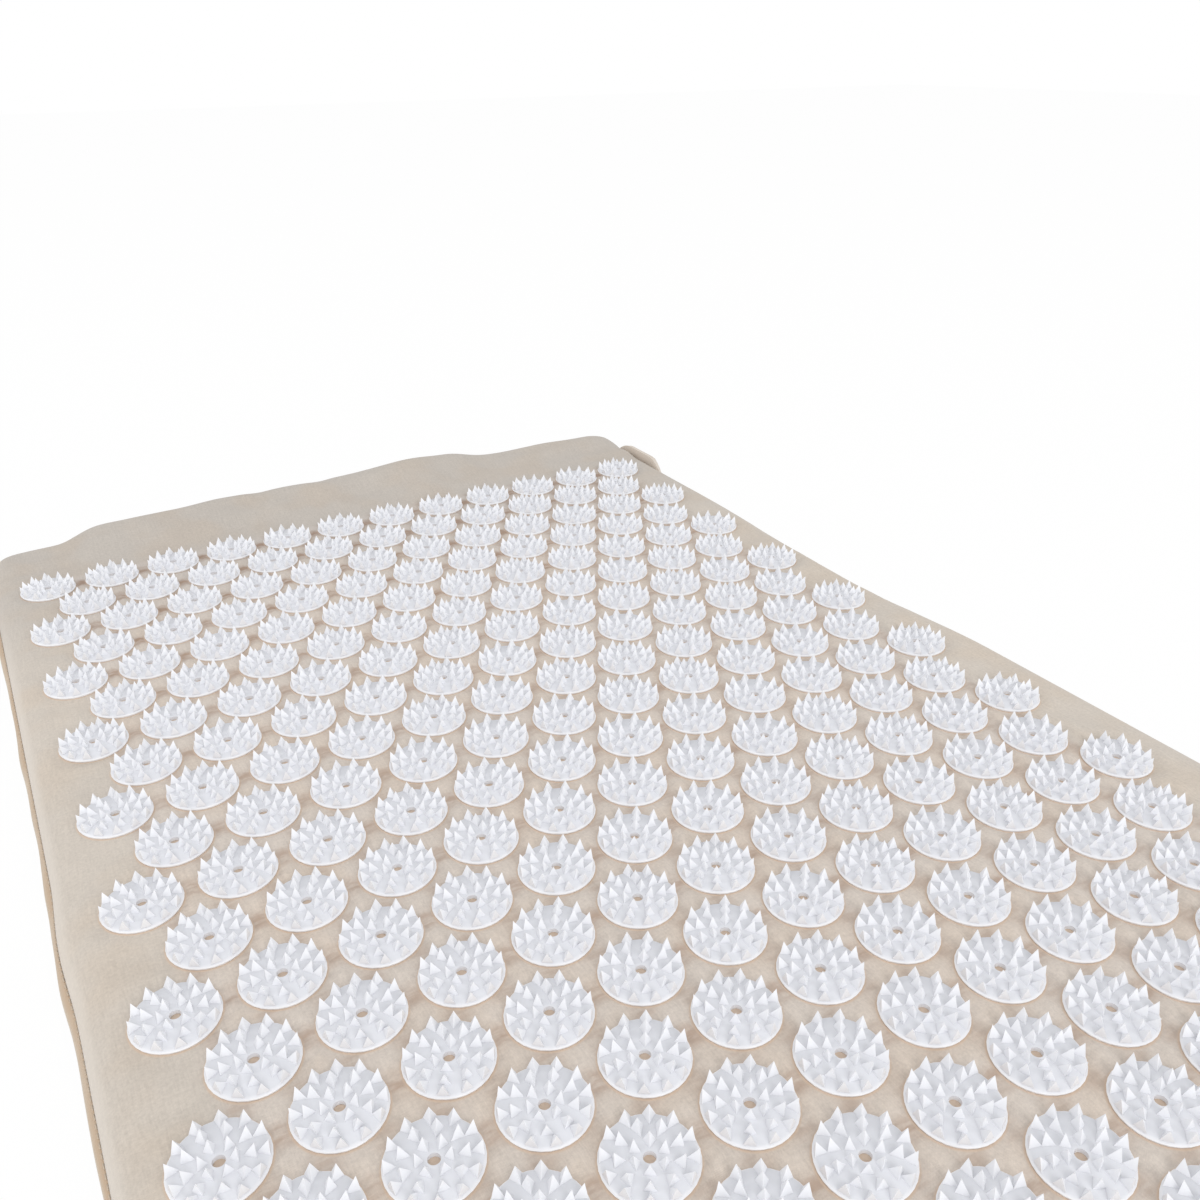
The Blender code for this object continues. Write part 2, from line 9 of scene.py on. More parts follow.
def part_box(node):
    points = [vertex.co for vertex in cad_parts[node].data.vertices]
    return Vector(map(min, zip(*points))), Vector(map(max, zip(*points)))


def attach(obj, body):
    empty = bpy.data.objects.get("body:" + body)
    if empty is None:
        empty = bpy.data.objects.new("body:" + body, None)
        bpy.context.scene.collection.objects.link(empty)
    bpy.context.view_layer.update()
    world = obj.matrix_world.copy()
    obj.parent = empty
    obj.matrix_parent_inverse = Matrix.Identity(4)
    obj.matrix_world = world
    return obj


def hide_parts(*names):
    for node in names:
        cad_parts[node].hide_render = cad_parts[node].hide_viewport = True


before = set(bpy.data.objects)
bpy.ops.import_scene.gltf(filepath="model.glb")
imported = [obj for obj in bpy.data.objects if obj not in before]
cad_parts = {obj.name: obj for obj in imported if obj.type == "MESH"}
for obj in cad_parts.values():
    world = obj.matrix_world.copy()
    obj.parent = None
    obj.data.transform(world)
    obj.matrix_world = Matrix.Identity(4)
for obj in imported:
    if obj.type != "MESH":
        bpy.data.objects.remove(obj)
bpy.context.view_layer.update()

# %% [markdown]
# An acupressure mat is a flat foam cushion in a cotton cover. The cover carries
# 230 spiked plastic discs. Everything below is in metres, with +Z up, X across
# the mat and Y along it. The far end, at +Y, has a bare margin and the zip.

mm = 0.001
full_turn = 2.0 * math.pi

# %% [markdown]
# The camera comes first.
# Its place follows from the pattern of discs, which shrinks towards the far end
# as a regular lattice does in perspective. The lens looks down at about 28
# degrees, from the near left corner. `to_track_quat` points a camera along a
# direction and keeps it level, and a small roll about its own axis does the rest.

# %% The camera
camera_place = Vector((-188.9, -355.5, 289.5)) * mm
camera_target = Vector((69.4, 94.1, 26.0)) * mm
camera_roll = math.radians(-0.475)
camera_data = bpy.data.cameras.new("camera")
camera_data.sensor_width = 36.0
camera_data.lens = 32.99
camera_data.clip_start = 10 * mm
camera_data.clip_end = 20.0
camera = bpy.data.objects.new("camera", camera_data)
bpy.context.scene.collection.objects.link(camera)
aim = (camera_target - camera_place).to_track_quat("-Z", "Y").to_matrix().to_4x4()
camera.matrix_world = Matrix.Translation(camera_place) @ aim @ Matrix.Rotation(camera_roll, 4, "Z")
bpy.context.scene.camera = camera
print("camera to target", round((camera_target - camera_place).length, 3))

# %% [markdown]
# A material is a small calculation. Node by node it is long to write, so this
# class wraps one socket and lets Python's own operators add the Math nodes.
# `__rsub__` and its kind are the reflected forms, which make `1 - mask` work.

# %% A socket that can be used in sums
class Socket:
    """One output of a node, with the operators that the finishes below use."""

    def __init__(self, finish, output):
        self.finish = finish
        self.output = output

    def maths(self, operation, *values):
        inputs = dict(enumerate((self, *values)))
        return self.finish.node("ShaderNodeMath", {"operation": operation}, inputs)

    def __add__(self, other):
        return self.maths("ADD", other)

    def __mul__(self, other):
        return self.maths("MULTIPLY", other)

    def __sub__(self, other):
        return self.maths("SUBTRACT", other)

    def __truediv__(self, other):
        return self.maths("DIVIDE", other)

    def __rsub__(self, other):
        inputs = {0: other, 1: self}
        return self.finish.node("ShaderNodeMath", {"operation": "SUBTRACT"}, inputs)

    __radd__ = __add__
    __rmul__ = __mul__

    def smooth_between(self, low, high):
        """0 below low, 1 above high, and a soft step between them."""
        settings = {"interpolation_type": "SMOOTHSTEP"}
        inputs = {"Value": self, "From Min": low, "From Max": high}
        return self.finish.node("ShaderNodeMapRange", settings, inputs)


print("helper", Socket.__name__)

# %% [markdown]
# One more class makes the material itself. Its `node` method sets a node's
# settings first, because some of them change which sockets there are, and then
# fills the sockets with numbers, colours or links.

# %% A finish, made of nodes
class Finish:
    """A material with a Principled shader, and short ways to feed it."""

    def __init__(self, name, colour, roughness, **fixed):
        self.material = bpy.data.materials.new(name)
        self.material.use_nodes = True
        self.tree = self.material.node_tree
        self.shader = self.tree.nodes["Principled BSDF"]
        self.feed(self.shader, {"Base Color": (*colour, 1.0), "Roughness": roughness, **fixed})

    def feed(self, node, inputs):
        for name, value in inputs.items():
            if isinstance(value, Socket):
                self.tree.links.new(value.output, node.inputs[name])
            else:
                node.inputs[name].default_value = value

    def node(self, kind, settings=None, inputs=None, output=0):
        made = self.tree.nodes.new(kind)
        for name, value in (settings or {}).items():
            setattr(made, name, value)
        self.feed(made, inputs or {})
        return Socket(self, made.outputs[output])

    def set(self, **inputs):
        self.feed(self.shader, {name.replace("_", " "): value for name, value in inputs.items()})

    def place(self):
        """Coordinates of the object itself, in metres."""
        return self.node("ShaderNodeTexCoord", output="Object")

    def stretched(self, vector, scale):
        """The same coordinates, with a scale of its own for each axis."""
        return self.node("ShaderNodeMapping", None, {"Vector": vector, "Scale": scale})

    def noise(self, vector, scale, detail=2.0, roughness=0.5):
        inputs = {"Vector": vector, "Scale": scale, "Detail": detail, "Roughness": roughness}
        return self.node("ShaderNodeTexNoise", None, inputs)

    def split(self, vector):
        names = ("X", "Y", "Z")
        return [self.node("ShaderNodeSeparateXYZ", None, {0: vector}, name) for name in names]

    def mix(self, share, first, second, blend="MIX"):
        settings = {"data_type": "RGBA", "blend_type": blend}
        colours = [value if isinstance(value, Socket) else (*value, 1.0) for value in (first, second)]
        return self.node("ShaderNodeMix", settings, {0: share, 6: colours[0], 7: colours[1]}, 2)

    def bump(self, height, strength, distance):
        inputs = {"Height": height, "Strength": strength, "Distance": distance}
        self.set(Normal=self.node("ShaderNodeBump", None, inputs))


print("helper", Finish.__name__)

# %% [markdown]
# The discs sit on a triangular lattice: 20 staggered rows of 12 and 11, one
# pitch apart. Each disc could be placed by hand, but two loops do it exactly.
# The first row comes from the solid model, so the visual model agrees with it.

# %% The lattice and the cover's measures
disc_pitch = 33.0 * mm
disc_radius = 14.0 * mm
row_names = [f"disc_row_{number:02d}" for number in range(1, 21)]
row_spacing = disc_pitch * math.sqrt(3.0) / 2.0
first_row_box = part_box(row_names[0])
long_row_count = round((first_row_box[1].x - first_row_box[0].x - 2.0 * disc_radius) / disc_pitch) + 1
first_row_y = (first_row_box[0].y + first_row_box[1].y) / 2.0

side_margin = 26.0 * mm
corner_radius = 22.0 * mm
side_draw_in = 0.5 * mm
side_outset = 1.6 * mm
half_width = (long_row_count - 1) * disc_pitch / 2.0 + side_margin
half_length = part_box("cover_top_panel")[1].y
cloth_thickness = 0.8 * mm
seam_height = 15.0 * mm
shoulder_height = 23.5 * mm
crown_height = 0.9 * mm
side_shoulder_run = 10.0 * mm
far_shoulder_run = 15.0 * mm
slack_start_y = first_row_y + disc_radius + 2.0 * mm
slack_overhang = 7.0 * mm
far_overhang_rise = 2.0
side_overhang_rise = 1.5
print("discs in a long row", long_row_count, "half width", half_width, "half length", half_length)


def row_places(number):
    """Centres of the discs in one row, numbered from 0 at the far end."""
    count = long_row_count - number % 2
    y = first_row_y - number * row_spacing
    return [((index - (count - 1) / 2.0) * disc_pitch, y) for index in range(count)]


all_rows = [row_places(number) for number in range(len(row_names))]
disc_places = [place for row in all_rows for place in row]
print("discs", len(disc_places))

# %% [markdown]
# The shape of the cover is a function from a place on the plan to a point in
# space. It has a nearly flat crown, because the foam is flat, and round shoulders
# down to the seam. The sides draw in a little along the middle, and parts of them
# are filled more. The bare far margin isn't pulled tight, so it stands in waves.
# Sculpting could follow the photograph too, but here each number has a name.

# %% Corners and sides of the cover
def rounded_corner(x, y, half_x, half_y, radius):
    """Moves a point of a rectangle to the same rectangle with round corners."""
    over_x = abs(x) - (half_x - radius)
    over_y = abs(y) - (half_y - radius)
    if over_x <= 0.0 or over_y <= 0.0:
        return x, y
    bent_x = over_x * math.sqrt(1.0 - 0.5 * (over_y / radius) ** 2)
    bent_y = over_y * math.sqrt(1.0 - 0.5 * (over_x / radius) ** 2)
    return (
        math.copysign(half_x - radius + bent_x, x),
        math.copysign(half_y - radius + bent_y, y),
    )


def eased(value, low, high):
    """A soft step: 0 up to low, and 1 from high on."""
    share = min(max((value - low) / (high - low), 0.0), 1.0)
    return share * share * (3.0 - 2.0 * share)


right_fullness = 8.3 * mm
fullness_start_y = 45.0 * mm
fullness_run = 85.0 * mm
left_bulge = 1.5 * mm
left_bulge_y = -22.0 * mm
left_bulge_half_length = 36.0 * mm
far_right_fullness = 4.5 * mm
far_right_start_y = 85.0 * mm
far_right_full_y = 195.5 * mm
far_left_pull = 3.5 * mm
far_left_pull_start_y = 265.0 * mm


def drawn_in(x, y):
    """The sides draw in along the middle, and parts of them are filled more."""
    if x < 0.0:
        away = (y - left_bulge_y) / left_bulge_half_length
        fullness = left_bulge * max(1.0 - away**2, 0.0) ** 2
        fullness -= far_left_pull * eased(y, far_left_pull_start_y, half_length)
    else:
        full = eased(fullness_start_y - y, 0.0, fullness_run)
        fullness = right_fullness * full * eased(y + half_length, 0.0, 2.0 * fullness_run)
        fullness += far_right_fullness * eased(y, far_right_start_y, far_right_full_y)
    along = 1.0 - (y / half_length) ** 2
    share = x / half_width
    moved_out = (side_outset + fullness) * share**6
    return x - side_draw_in * along * share**3 + math.copysign(moved_out, x)


print("the near right side is filled by", right_fullness)

# %% Crown, waves and shoulders of the cover
def crown_at(x, y):
    """How far the flat top rises towards the middle of the mat."""
    across = 1.0 - min(abs(x) / half_width, 1.0) ** 2
    along = 1.0 - min(abs(y) / half_length, 1.0) ** 4
    return crown_height * across * along


# Each pair is a place across the mat and the height of the cloth there, in mm.
slack_waves = (
    (-207.0, 0.6),
    (-172.0, 1.0),
    (-143.0, 7.8),
    (-106.0, 8.5),
    (-70.0, 10.3),
    (5.0, 10.0),
    (54.0, 12.5),
    (80.0, 11.1),
    (106.0, 6.3),
    (152.0, 6.0),
    (184.0, 5.2),
    (197.0, 5.0),
    (207.0, 5.0),
)


def wave_at(x):
    """The loose cloth of the far margin stands in waves from side to side."""
    for (start, low), (end, high) in zip(slack_waves, slack_waves[1:]):
        if x <= end * mm:
            break
    return (low + (high - low) * eased(x, start * mm, end * mm)) * mm


def slack_at(x, y):
    """The waves start past the first row of discs and end at the far shoulder."""
    return wave_at(x) * eased(y, slack_start_y, half_length - far_shoulder_run)


def shoulder_share(distance, run):
    """Height of a round shoulder, from 0 at the seam to 1 where the flat top starts."""
    if distance >= run:
        return 1.0
    return math.sqrt(max(1.0 - (1.0 - distance / run) ** 2, 0.0))


def top_point(x, y):
    """The outer cloth surface above one point of the plan."""
    side = shoulder_share(half_width - abs(x), side_shoulder_run)
    far = shoulder_share(half_length - y, far_shoulder_run)
    near = shoulder_share(half_length + y, side_shoulder_run)
    crest = shoulder_height + crown_at(x, y) + slack_at(x, y)
    height = seam_height + (crest - seam_height) * side * far * near
    plan_x, plan_y = rounded_corner(x, y, half_width, half_length, corner_radius)
    swell = min(slack_at(x, y) / slack_overhang, 1.0)
    overhang = slack_overhang * swell
    overhang *= min(far_overhang_rise * far, 1.0) * min(side_overhang_rise * side, 1.0)
    return Vector((drawn_in(plan_x, plan_y), plan_y + overhang, height))


print("middle of the cover at", top_point(0.0, 0.0)[:])

# %% Where the discs sit
def seat_frame(x, y):
    """Where a disc sits: on the cloth, tilted with it."""
    step = disc_radius
    rise_x = (top_point(x + step, y) - top_point(x - step, y)).normalized()
    rise_y = (top_point(x, y + step) - top_point(x, y - step)).normalized()
    up = rise_x.cross(rise_y).normalized()
    sideways = rise_y.cross(up).normalized()
    turn = Matrix((sideways, up.cross(sideways), up)).transposed().to_4x4()
    return Matrix.Translation(Vector((x, y, shoulder_height + crown_at(x, y)))) @ turn


disc_seats = {place: seat_frame(*place) for place in disc_places}


def nearest_disc(x, y):
    """The nearest disc's place, and how far away its centre is."""
    above = math.floor((first_row_y - y) / row_spacing)
    nearest = None
    least = math.inf
    for number in (above, above + 1):
        if 0 <= number < len(row_names):
            row = all_rows[number]
            index = min(max(round((x - row[0][0]) / disc_pitch), 0), len(row) - 1)
            distance = math.dist(row[index], (x, y))
            if distance < least:
                nearest = row[index]
                least = distance
    return nearest, least


print("disc nearest to the middle at", nearest_disc(0.0, 0.0)[0])

# %% [markdown]
# A shape is built as a bmesh, which is a mesh that can be edited, and becomes an
# object when it is ready. `baked` turns what modifiers make into a plain mesh,
# so that the next step can move its vertices.

# %% Making objects
# Edges that bend by less than these angles are shaded smooth.
soft_angle = math.radians(60.0)
hard_angle = math.radians(40.0)


def finished(name, shape, finish, smooth_angle=None):
    """Turns a bmesh into an object at the origin, with its place in its mesh."""
    mesh = bpy.data.meshes.new(name)
    shape.to_mesh(mesh)
    shape.free()
    mesh.materials.append(finish.material)
    if smooth_angle is not None:
        mesh.shade_smooth()
        mesh.set_sharp_from_angle(angle=smooth_angle)
    piece = bpy.data.objects.new(name, mesh)
    bpy.context.scene.collection.objects.link(piece)
    return piece


def baked(piece):
    """Gives a piece the mesh that its modifiers make, and removes them."""
    graph = bpy.context.evaluated_depsgraph_get()
    mesh = bpy.data.meshes.new_from_object(piece.evaluated_get(graph))
    piece.modifiers.clear()
    piece.data = mesh
    return mesh


print("helpers", finished.__name__, "and", baked.__name__)

# %% [markdown]
# Undyed cotton shows three scales of detail: a fine weave, threads that are here
# and there a little thicker (slubs), and soft changes of tone over a hand's
# width. All of them are calculated from the place on the cloth, so no picture is
# needed. The weave follows the UV map, because threads run with the cloth.

# %% Cotton cloth
cloth_colour = (0.648, 0.578, 0.514)
cloth_peach_colour = (0.648, 0.560, 0.480)
# The next five paint light and shade on the cover: light among the discs, contact shade at the rims,
# shade in the gaps, shade at the far end and a highlight by the seam.
bare_margin_shade_share = (0.935, 0.945, 0.935)
cloth_contact_shade_colour = (0.69, 0.53, 0.40)
cloth_gap_shade_colour = (0.40, 0.275, 0.20)
cloth_far_shade_colour = (0.84, 0.855, 0.88)
cloth_edge_highlight_colour = (0.735, 0.675, 0.605)
under_colour = (0.640, 0.560, 0.465)
under_peach_colour = (0.610, 0.510, 0.405)
# The next two paint shade where the side turns in to the seam, and light on the loose corner.
under_seam_shade_colour = (0.52, 0.385, 0.265)
loose_corner_lit_colour = (0.72, 0.64, 0.56)
thread_spacing = 0.55 * mm
slub_scale = (1500.0, 100.0, 1.0)
cross_slub_scale = (90.0, 1500.0, 1.0)
weave_height = 0.12 * mm


def cotton(name, colour, warm_colour):
    """Plain woven cotton, with its threads, slubs and soft changes of tone."""
    finish = Finish(name, colour, 0.9)
    place = finish.place()
    flat = finish.node("ShaderNodeUVMap", {"uv_map": "cloth"})
    across, along, _ = finish.split(flat)
    warp = (across * (full_turn / thread_spacing)).maths("SINE")
    weft = (along * (full_turn / thread_spacing)).maths("SINE")
    weave = warp * weft
    slub = finish.noise(finish.stretched(flat, slub_scale), 1.0, 2.0, 0.6)
    cross_slub = finish.noise(finish.stretched(flat, cross_slub_scale), 1.0, 2.0, 0.6)
    tone = finish.noise(place, 14.0, 3.0, 0.55)
    fleck = finish.noise(place, 900.0, 2.0, 0.7)
    light = 0.99 + 0.05 * weave + 0.20 * (slub - 0.5) + 0.08 * (cross_slub - 0.5)
    light = light + 0.12 * (tone - 0.5) + 0.34 * (fleck - 0.5)
    shade = finish.node("ShaderNodeCombineColor", None, {0: light, 1: light, 2: light})
    warmth = finish.noise(place, 32.0, 2.0, 0.5).smooth_between(0.40, 0.66)
    base = finish.mix(warmth, colour, warm_colour)
    height = 0.5 * weave + 1.2 * slub + 0.9 * cross_slub + 0.8 * fleck
    finish.bump(height, 0.35, weave_height)
    finish.set(Base_Color=finish.mix(1.0, base, shade, "MULTIPLY"), Sheen_Weight=0.1)
    return finish


cover_finish = cotton("cotton_cover_cloth", cloth_colour, cloth_peach_colour)
under_finish = cotton("cotton_under_cloth", under_colour, under_peach_colour)
print("cloth finishes", cover_finish.material.name, under_finish.material.name)

# %% [markdown]
# Some tones belong to places on the mat, and all of them are painted light and shade.
# Painted shade darkens the narrow gaps between the discs in streaks, and a thin
# warm line of painted contact shade rings each rim. The cloth among the discs is
# painted lighter than the bare margins, for the light that the white discs throw
# onto it. The far end has a cooler painted shade, and a painted highlight lies on
# the cloth next to the seam. The side below the seam has tan painted shade where
# it turns in, but its loose corner is painted paler, as if lit. A painted picture
# could show all this, but sums on the distance to the nearest point of the
# lattice stay sharp at any size.

# %% How far a place is from the lattice
def lattice_distance(finish, x, y, pitch, offset, last_column=None):
    """
    How far a place is from the nearest point of a triangular lattice. The offset,
    as a share of the pitch, is that of the even rows: the odd ones have the other.
    """
    spacing = pitch * math.sqrt(3.0) / 2.0
    row = (first_row_y - y) / spacing
    nearest = None
    for step in (0.0, 1.0):
        number = row.maths("FLOOR") + step
        odd = number.maths("PINGPONG", 1.0)
        column = x / pitch - offset - odd * (0.5 - 2.0 * offset)
        nearest_column = column.maths("ROUND")
        if last_column is not None:
            nearest_column = nearest_column.maths("MAXIMUM", odd - (last_column + 1.0))
            nearest_column = nearest_column.maths("MINIMUM", last_column)
        off_x = (column - nearest_column) * pitch
        off_y = (row - number) * spacing
        distance = (off_x * off_x + off_y * off_y).maths("SQRT")
        nearest = distance if nearest is None else nearest.maths("MINIMUM", distance)
    return nearest

# %% Painted light and shade on the cover
# Each pair is where a soft step starts and where it is full.
rows_from = (-0.55, -0.35)
rows_until = (19.35, 19.55)
gap_width = (1.0 * mm, 7.0 * mm)
gap_clear_of_disc = (11.0 * mm, 13.0 * mm)
between_rows_share = (0.2, 0.4)
gap_shade_darker_y = (60.0 * mm, 260.0 * mm)
bare_side_x = (174.0 * mm, 181.0 * mm)
contact_shade_reach = (disc_radius, disc_radius + 0.8 * mm)
far_shade_y = (145.0 * mm, 290.0 * mm)
edge_highlight_run = (1.5 * mm, 5.0 * mm)
streak_scale = (70.0, 300.0, 170.0)


def add_cover_light_and_shade(finish, colour):
    """Painted shade in the gaps, at the rims, on the bare margins and at the far end, and a painted
    highlight by the seam.
    """
    x, y, _ = finish.split(finish.place())
    last_column = 0.5 * long_row_count - 1.0
    discs = lattice_distance(finish, x, y, disc_pitch, 0.5, last_column)
    gaps = lattice_distance(finish, x, y, disc_pitch / 2.0, 0.0)
    rows = (first_row_y - y) / row_spacing
    inside = rows.smooth_between(*rows_from) * (1 - rows.smooth_between(*rows_until))
    streaks = finish.stretched(finish.place(), streak_scale)
    blotch = finish.noise(streaks, 1.0, 3.0, 0.6).smooth_between(0.36, 0.64)
    # Painted shade: the narrow gaps between the discs are darkened in noisy streaks, more towards the far
    # end and less in the gaps between rows.
    narrow_gap_shade = (1 - gaps.smooth_between(*gap_width)) * discs.smooth_between(*gap_clear_of_disc)
    from_row = (rows - rows.maths("ROUND")).maths("ABSOLUTE")
    strength = (0.22 + 0.50 * blotch) * (1 - 0.42 * from_row.smooth_between(*between_rows_share))
    strength = strength * (1 + 0.8 * y.smooth_between(*gap_shade_darker_y))
    reach = 1 - x.maths("ABSOLUTE").smooth_between(*bare_side_x)
    colour = finish.mix(narrow_gap_shade * inside * reach * strength, colour, cloth_gap_shade_colour)
    # Painted light: the cloth among the discs is painted lighter than the bare margins, for the light the
    # white discs throw onto it; this is done by darkening the margins.
    colour = finish.mix(1 - inside * reach, colour, bare_margin_shade_share, "MULTIPLY")
    # Painted contact shade: a thin warm line on the cloth right round each rim.
    rim_contact_shade = (1 - discs.smooth_between(*contact_shade_reach)) * inside
    colour = finish.mix(rim_contact_shade * 0.7, colour, cloth_contact_shade_colour)
    # Painted shade: the far end, whose roll turns away from the light, is painted a cooler grey.
    far = y.smooth_between(*far_shade_y)
    colour = finish.mix(far * 0.9, colour, cloth_far_shade_colour, "MULTIPLY")
    # Painted highlight: the cloth next to the seam, where it rounds over the shoulder, is painted paler,
    # except at the far end.
    across, _, _ = finish.split(finish.node("ShaderNodeUVMap", {"uv_map": "cloth"}))
    from_seam = half_width - across.maths("ABSOLUTE")
    edge = (1 - from_seam.smooth_between(*edge_highlight_run)) * (1 - far)
    return finish.mix(edge * 0.5, colour, cloth_edge_highlight_colour)

# %% Painted shade and light on the side below the seam
seam_shade_heights = (7.5 * mm, 12.5 * mm)
corner_light_y = (240.0 * mm, 262.0 * mm)
corner_light_x = (150.0 * mm, 200.0 * mm)


def add_side_shade(finish, colour):
    """Painted shade makes the side tan where it turns in to the seam; the loose corner gets painted light
    instead.
    """
    x, y, z = finish.split(finish.place())
    patch = finish.noise(finish.place(), 26.0, 2.0, 0.5).smooth_between(0.30, 0.62)
    # Painted shade: the side darkens to tan in patches as it turns in to the seam.
    turned_in_shade = z.smooth_between(*seam_shade_heights) * (0.6 + 0.4 * patch)
    colour = finish.mix(turned_in_shade, colour, under_seam_shade_colour)
    # Painted light: the loose corner faces sideways, so it is painted paler, as if lit, and gets no tan
    # shade.
    corner = (x * y.smooth_between(*corner_light_y)).smooth_between(*corner_light_x)
    return finish.mix(corner, colour, loose_corner_lit_colour)


for finish, add_marks in ((cover_finish, add_cover_light_and_shade), (under_finish, add_side_shade)):
    plain_colour = Socket(finish, finish.shader.inputs["Base Color"].links[0].from_socket)
    finish.set(Base_Color=add_marks(finish, plain_colour))
    print(finish.material.name, "has", len(finish.tree.nodes), "nodes")

# %% [markdown]
# The top panel starts as a coarse grid on the cover's shape. A short cloth
# simulation then lets it grow by 2.5 per cent between the places where it is
# held: under the discs, and along the seam. Cloth with nowhere to go buckles,
# which gives the soft unevenness between the discs. Noise could lift the cloth
# as well, but it has no idea of tension, so its folds would run under the discs.
# The foam lies just below, so no point may fall by more than about a millimetre.

# %% A grid over the cover
shoulder_steps = 3


def shoulder_places(run, steps):
    """Distances in from the seam that divide a round shoulder evenly."""
    angles = [0.5 * math.pi * step / steps for step in range(steps)]
    return [run * (1.0 - math.cos(angle)) for angle in angles]


def lines_between(half, low_run, high_run, cell):
    """Grid lines from seam to seam, close together on the shoulders."""
    low = [-half + place for place in shoulder_places(low_run, shoulder_steps)]
    high = [half - place for place in reversed(shoulder_places(high_run, shoulder_steps))]
    start = -half + low_run
    end = half - high_run
    count = round((end - start) / cell)
    return low + [start + (end - start) * step / count for step in range(count + 1)] + high


cell_across = disc_pitch / 4.0
cell_along = 9.0 * mm
columns = lines_between(half_width, side_shoulder_run, side_shoulder_run, cell_across)
rows = lines_between(half_length, side_shoulder_run, far_shoulder_run, cell_along)


def shaped_grid(across, along, point_at):
    """A grid primitive whose vertices move to point_at(x, y), with the cloth's UV."""
    shape = bmesh.new()
    bmesh.ops.create_grid(shape, x_segments=len(across) - 1, y_segments=len(along) - 1, size=1.0)
    plan = {}
    for vertex in shape.verts:
        column = round((vertex.co.x + 1.0) / 2.0 * (len(across) - 1))
        row = round((vertex.co.y + 1.0) / 2.0 * (len(along) - 1))
        plan[vertex] = (across[column], along[row])
        vertex.co = point_at(*plan[vertex])
    layer = shape.loops.layers.uv.new("cloth")
    for face in shape.faces:
        for loop in face.loops:
            loop[layer].uv = plan[loop.vert]
    return shape


panel_shape = shaped_grid(columns, rows, top_point)
top_panel = finished("cover_top", panel_shape, cover_finish, math.pi)
print("coarse panel", len(top_panel.data.vertices), "vertices")

# %% Letting the cloth settle
cloth_growth = 0.025
settle_frames = 20
most_move = 4.0 * mm
most_fall = 1.1 * mm
seam_hold = 6.0 * mm


def settle(piece, held):
    """The free cloth grows. Each point moves by most_move at most, and falls by most_fall."""
    start = [vertex.co.copy() for vertex in piece.data.vertices]
    group = piece.vertex_groups.new(name="held")
    group.add([index for index, place in enumerate(start) if held(place)], 1.0, "REPLACE")
    cloth = piece.modifiers.new("settle", "CLOTH")
    settings = cloth.settings
    settings.vertex_group_mass = "held"
    settings.quality = 5
    settings.mass = 0.3
    settings.tension_stiffness = 15.0
    settings.compression_stiffness = 15.0
    settings.shear_stiffness = 5.0
    settings.bending_stiffness = 0.5
    settings.shrink_min = -cloth_growth
    settings.use_pressure = True
    settings.uniform_pressure_force = 0.4
    settings.effector_weights.gravity = 0.0
    cloth.collision_settings.use_collision = False
    scene = bpy.context.scene
    for number in range(1, settle_frames + 1):
        scene.frame_set(number)
    mesh = baked(piece)
    scene.frame_set(1)
    furthest = 0.0
    for vertex, place in zip(mesh.vertices, start):
        moved = vertex.co - place
        if moved.length > most_move:
            vertex.co = place + moved.normalized() * most_move
        vertex.co.z = max(vertex.co.z, place.z - most_fall)
        furthest = max(furthest, (vertex.co - place).length)
    piece.vertex_groups.clear()
    return furthest


def held_by_disc_or_seam(place):
    _, distance = nearest_disc(place.x, place.y)
    seam = min(half_width - abs(place.x), half_length - abs(place.y))
    return distance < disc_radius or seam < seam_hold


most_moved = settle(top_panel, held_by_disc_or_seam)
print("cloth settled, at most", round(most_moved / mm, 2), "mm")

# %% [markdown]
# The grid is now subdivided twice, which rounds it. Then the cloth is pressed
# flat under each disc, as glue holds it there, and bulges and creases between
# them. A displace modifier could add the creases, but it wouldn't know where the
# discs are. Long low folds run along the bare far margin and end before its seam.

# %% Subdividing the panel
def subdivided(piece, levels):
    modifier = piece.modifiers.new("finer", "SUBSURF")
    modifier.levels = levels
    modifier.render_levels = levels
    modifier.boundary_smooth = "PRESERVE_CORNERS"
    return baked(piece)


fine_panel = subdivided(top_panel, 2)
print("fine panel", len(fine_panel.vertices), "vertices")

# %% Seating the discs in the cloth
gap_bulge = 0.6 * mm
crease_depth = 0.6 * mm
crease_spacing = 7.0 * mm
seat_reach = 0.8 * mm
seat_fade = 4.5 * mm
seat_pull = 2.2 * disc_radius
far_fold_height = 2.4 * mm
far_fold_length = 60.0 * mm
far_fold_width = 13.0 * mm
far_fold_start_run = 12.0 * mm
far_fold_end = (half_length - 14.0 * mm, half_length - 4.0 * mm)


def relief(x, y, distance):
    """How clear of the discs a place is, and how far the cloth bulges and creases there."""
    clear = eased(distance, disc_radius + seat_reach, disc_radius + seat_reach + seat_fade)
    place = Vector((x / crease_spacing, y / crease_spacing, 0.3))
    crease = 1.0 - abs(noise.noise(place) * 2.0)
    crease = max(crease, 0.0) ** 3
    return clear, gap_bulge * clear - crease_depth * crease * clear


def far_folds(x, y):
    """Long low folds that run along the bare far margin, and end before its seam."""
    fold = noise.noise(Vector((x / far_fold_length, y / far_fold_width, 2.0)))
    shown = eased(y, slack_start_y, slack_start_y + far_fold_start_run)
    return far_fold_height * fold * shown * (1.0 - eased(y, *far_fold_end))


def seat_cloth(mesh):
    """Presses the cloth flat under each disc, and lifts it between them."""
    for vertex in mesh.vertices:
        vertex.co.z += far_folds(vertex.co.x, vertex.co.y)
        x, y, z = vertex.co
        place, distance = nearest_disc(x, y)
        if place is None:
            continue
        clear, lift = relief(x, y, distance)
        near = 1.0 - eased(distance, disc_radius + seat_reach, seat_pull)
        seat = disc_seats[place]
        up = seat.col[2].xyz
        plane_z = z - (vertex.co - seat.translation).dot(up) / up.z
        flat = 1.0 - clear
        vertex.co.z = plane_z * flat + (z + lift * near) * (1.0 - flat)


seat_cloth(fine_panel)
print("highest cloth", max(vertex.co.z for vertex in fine_panel.vertices))

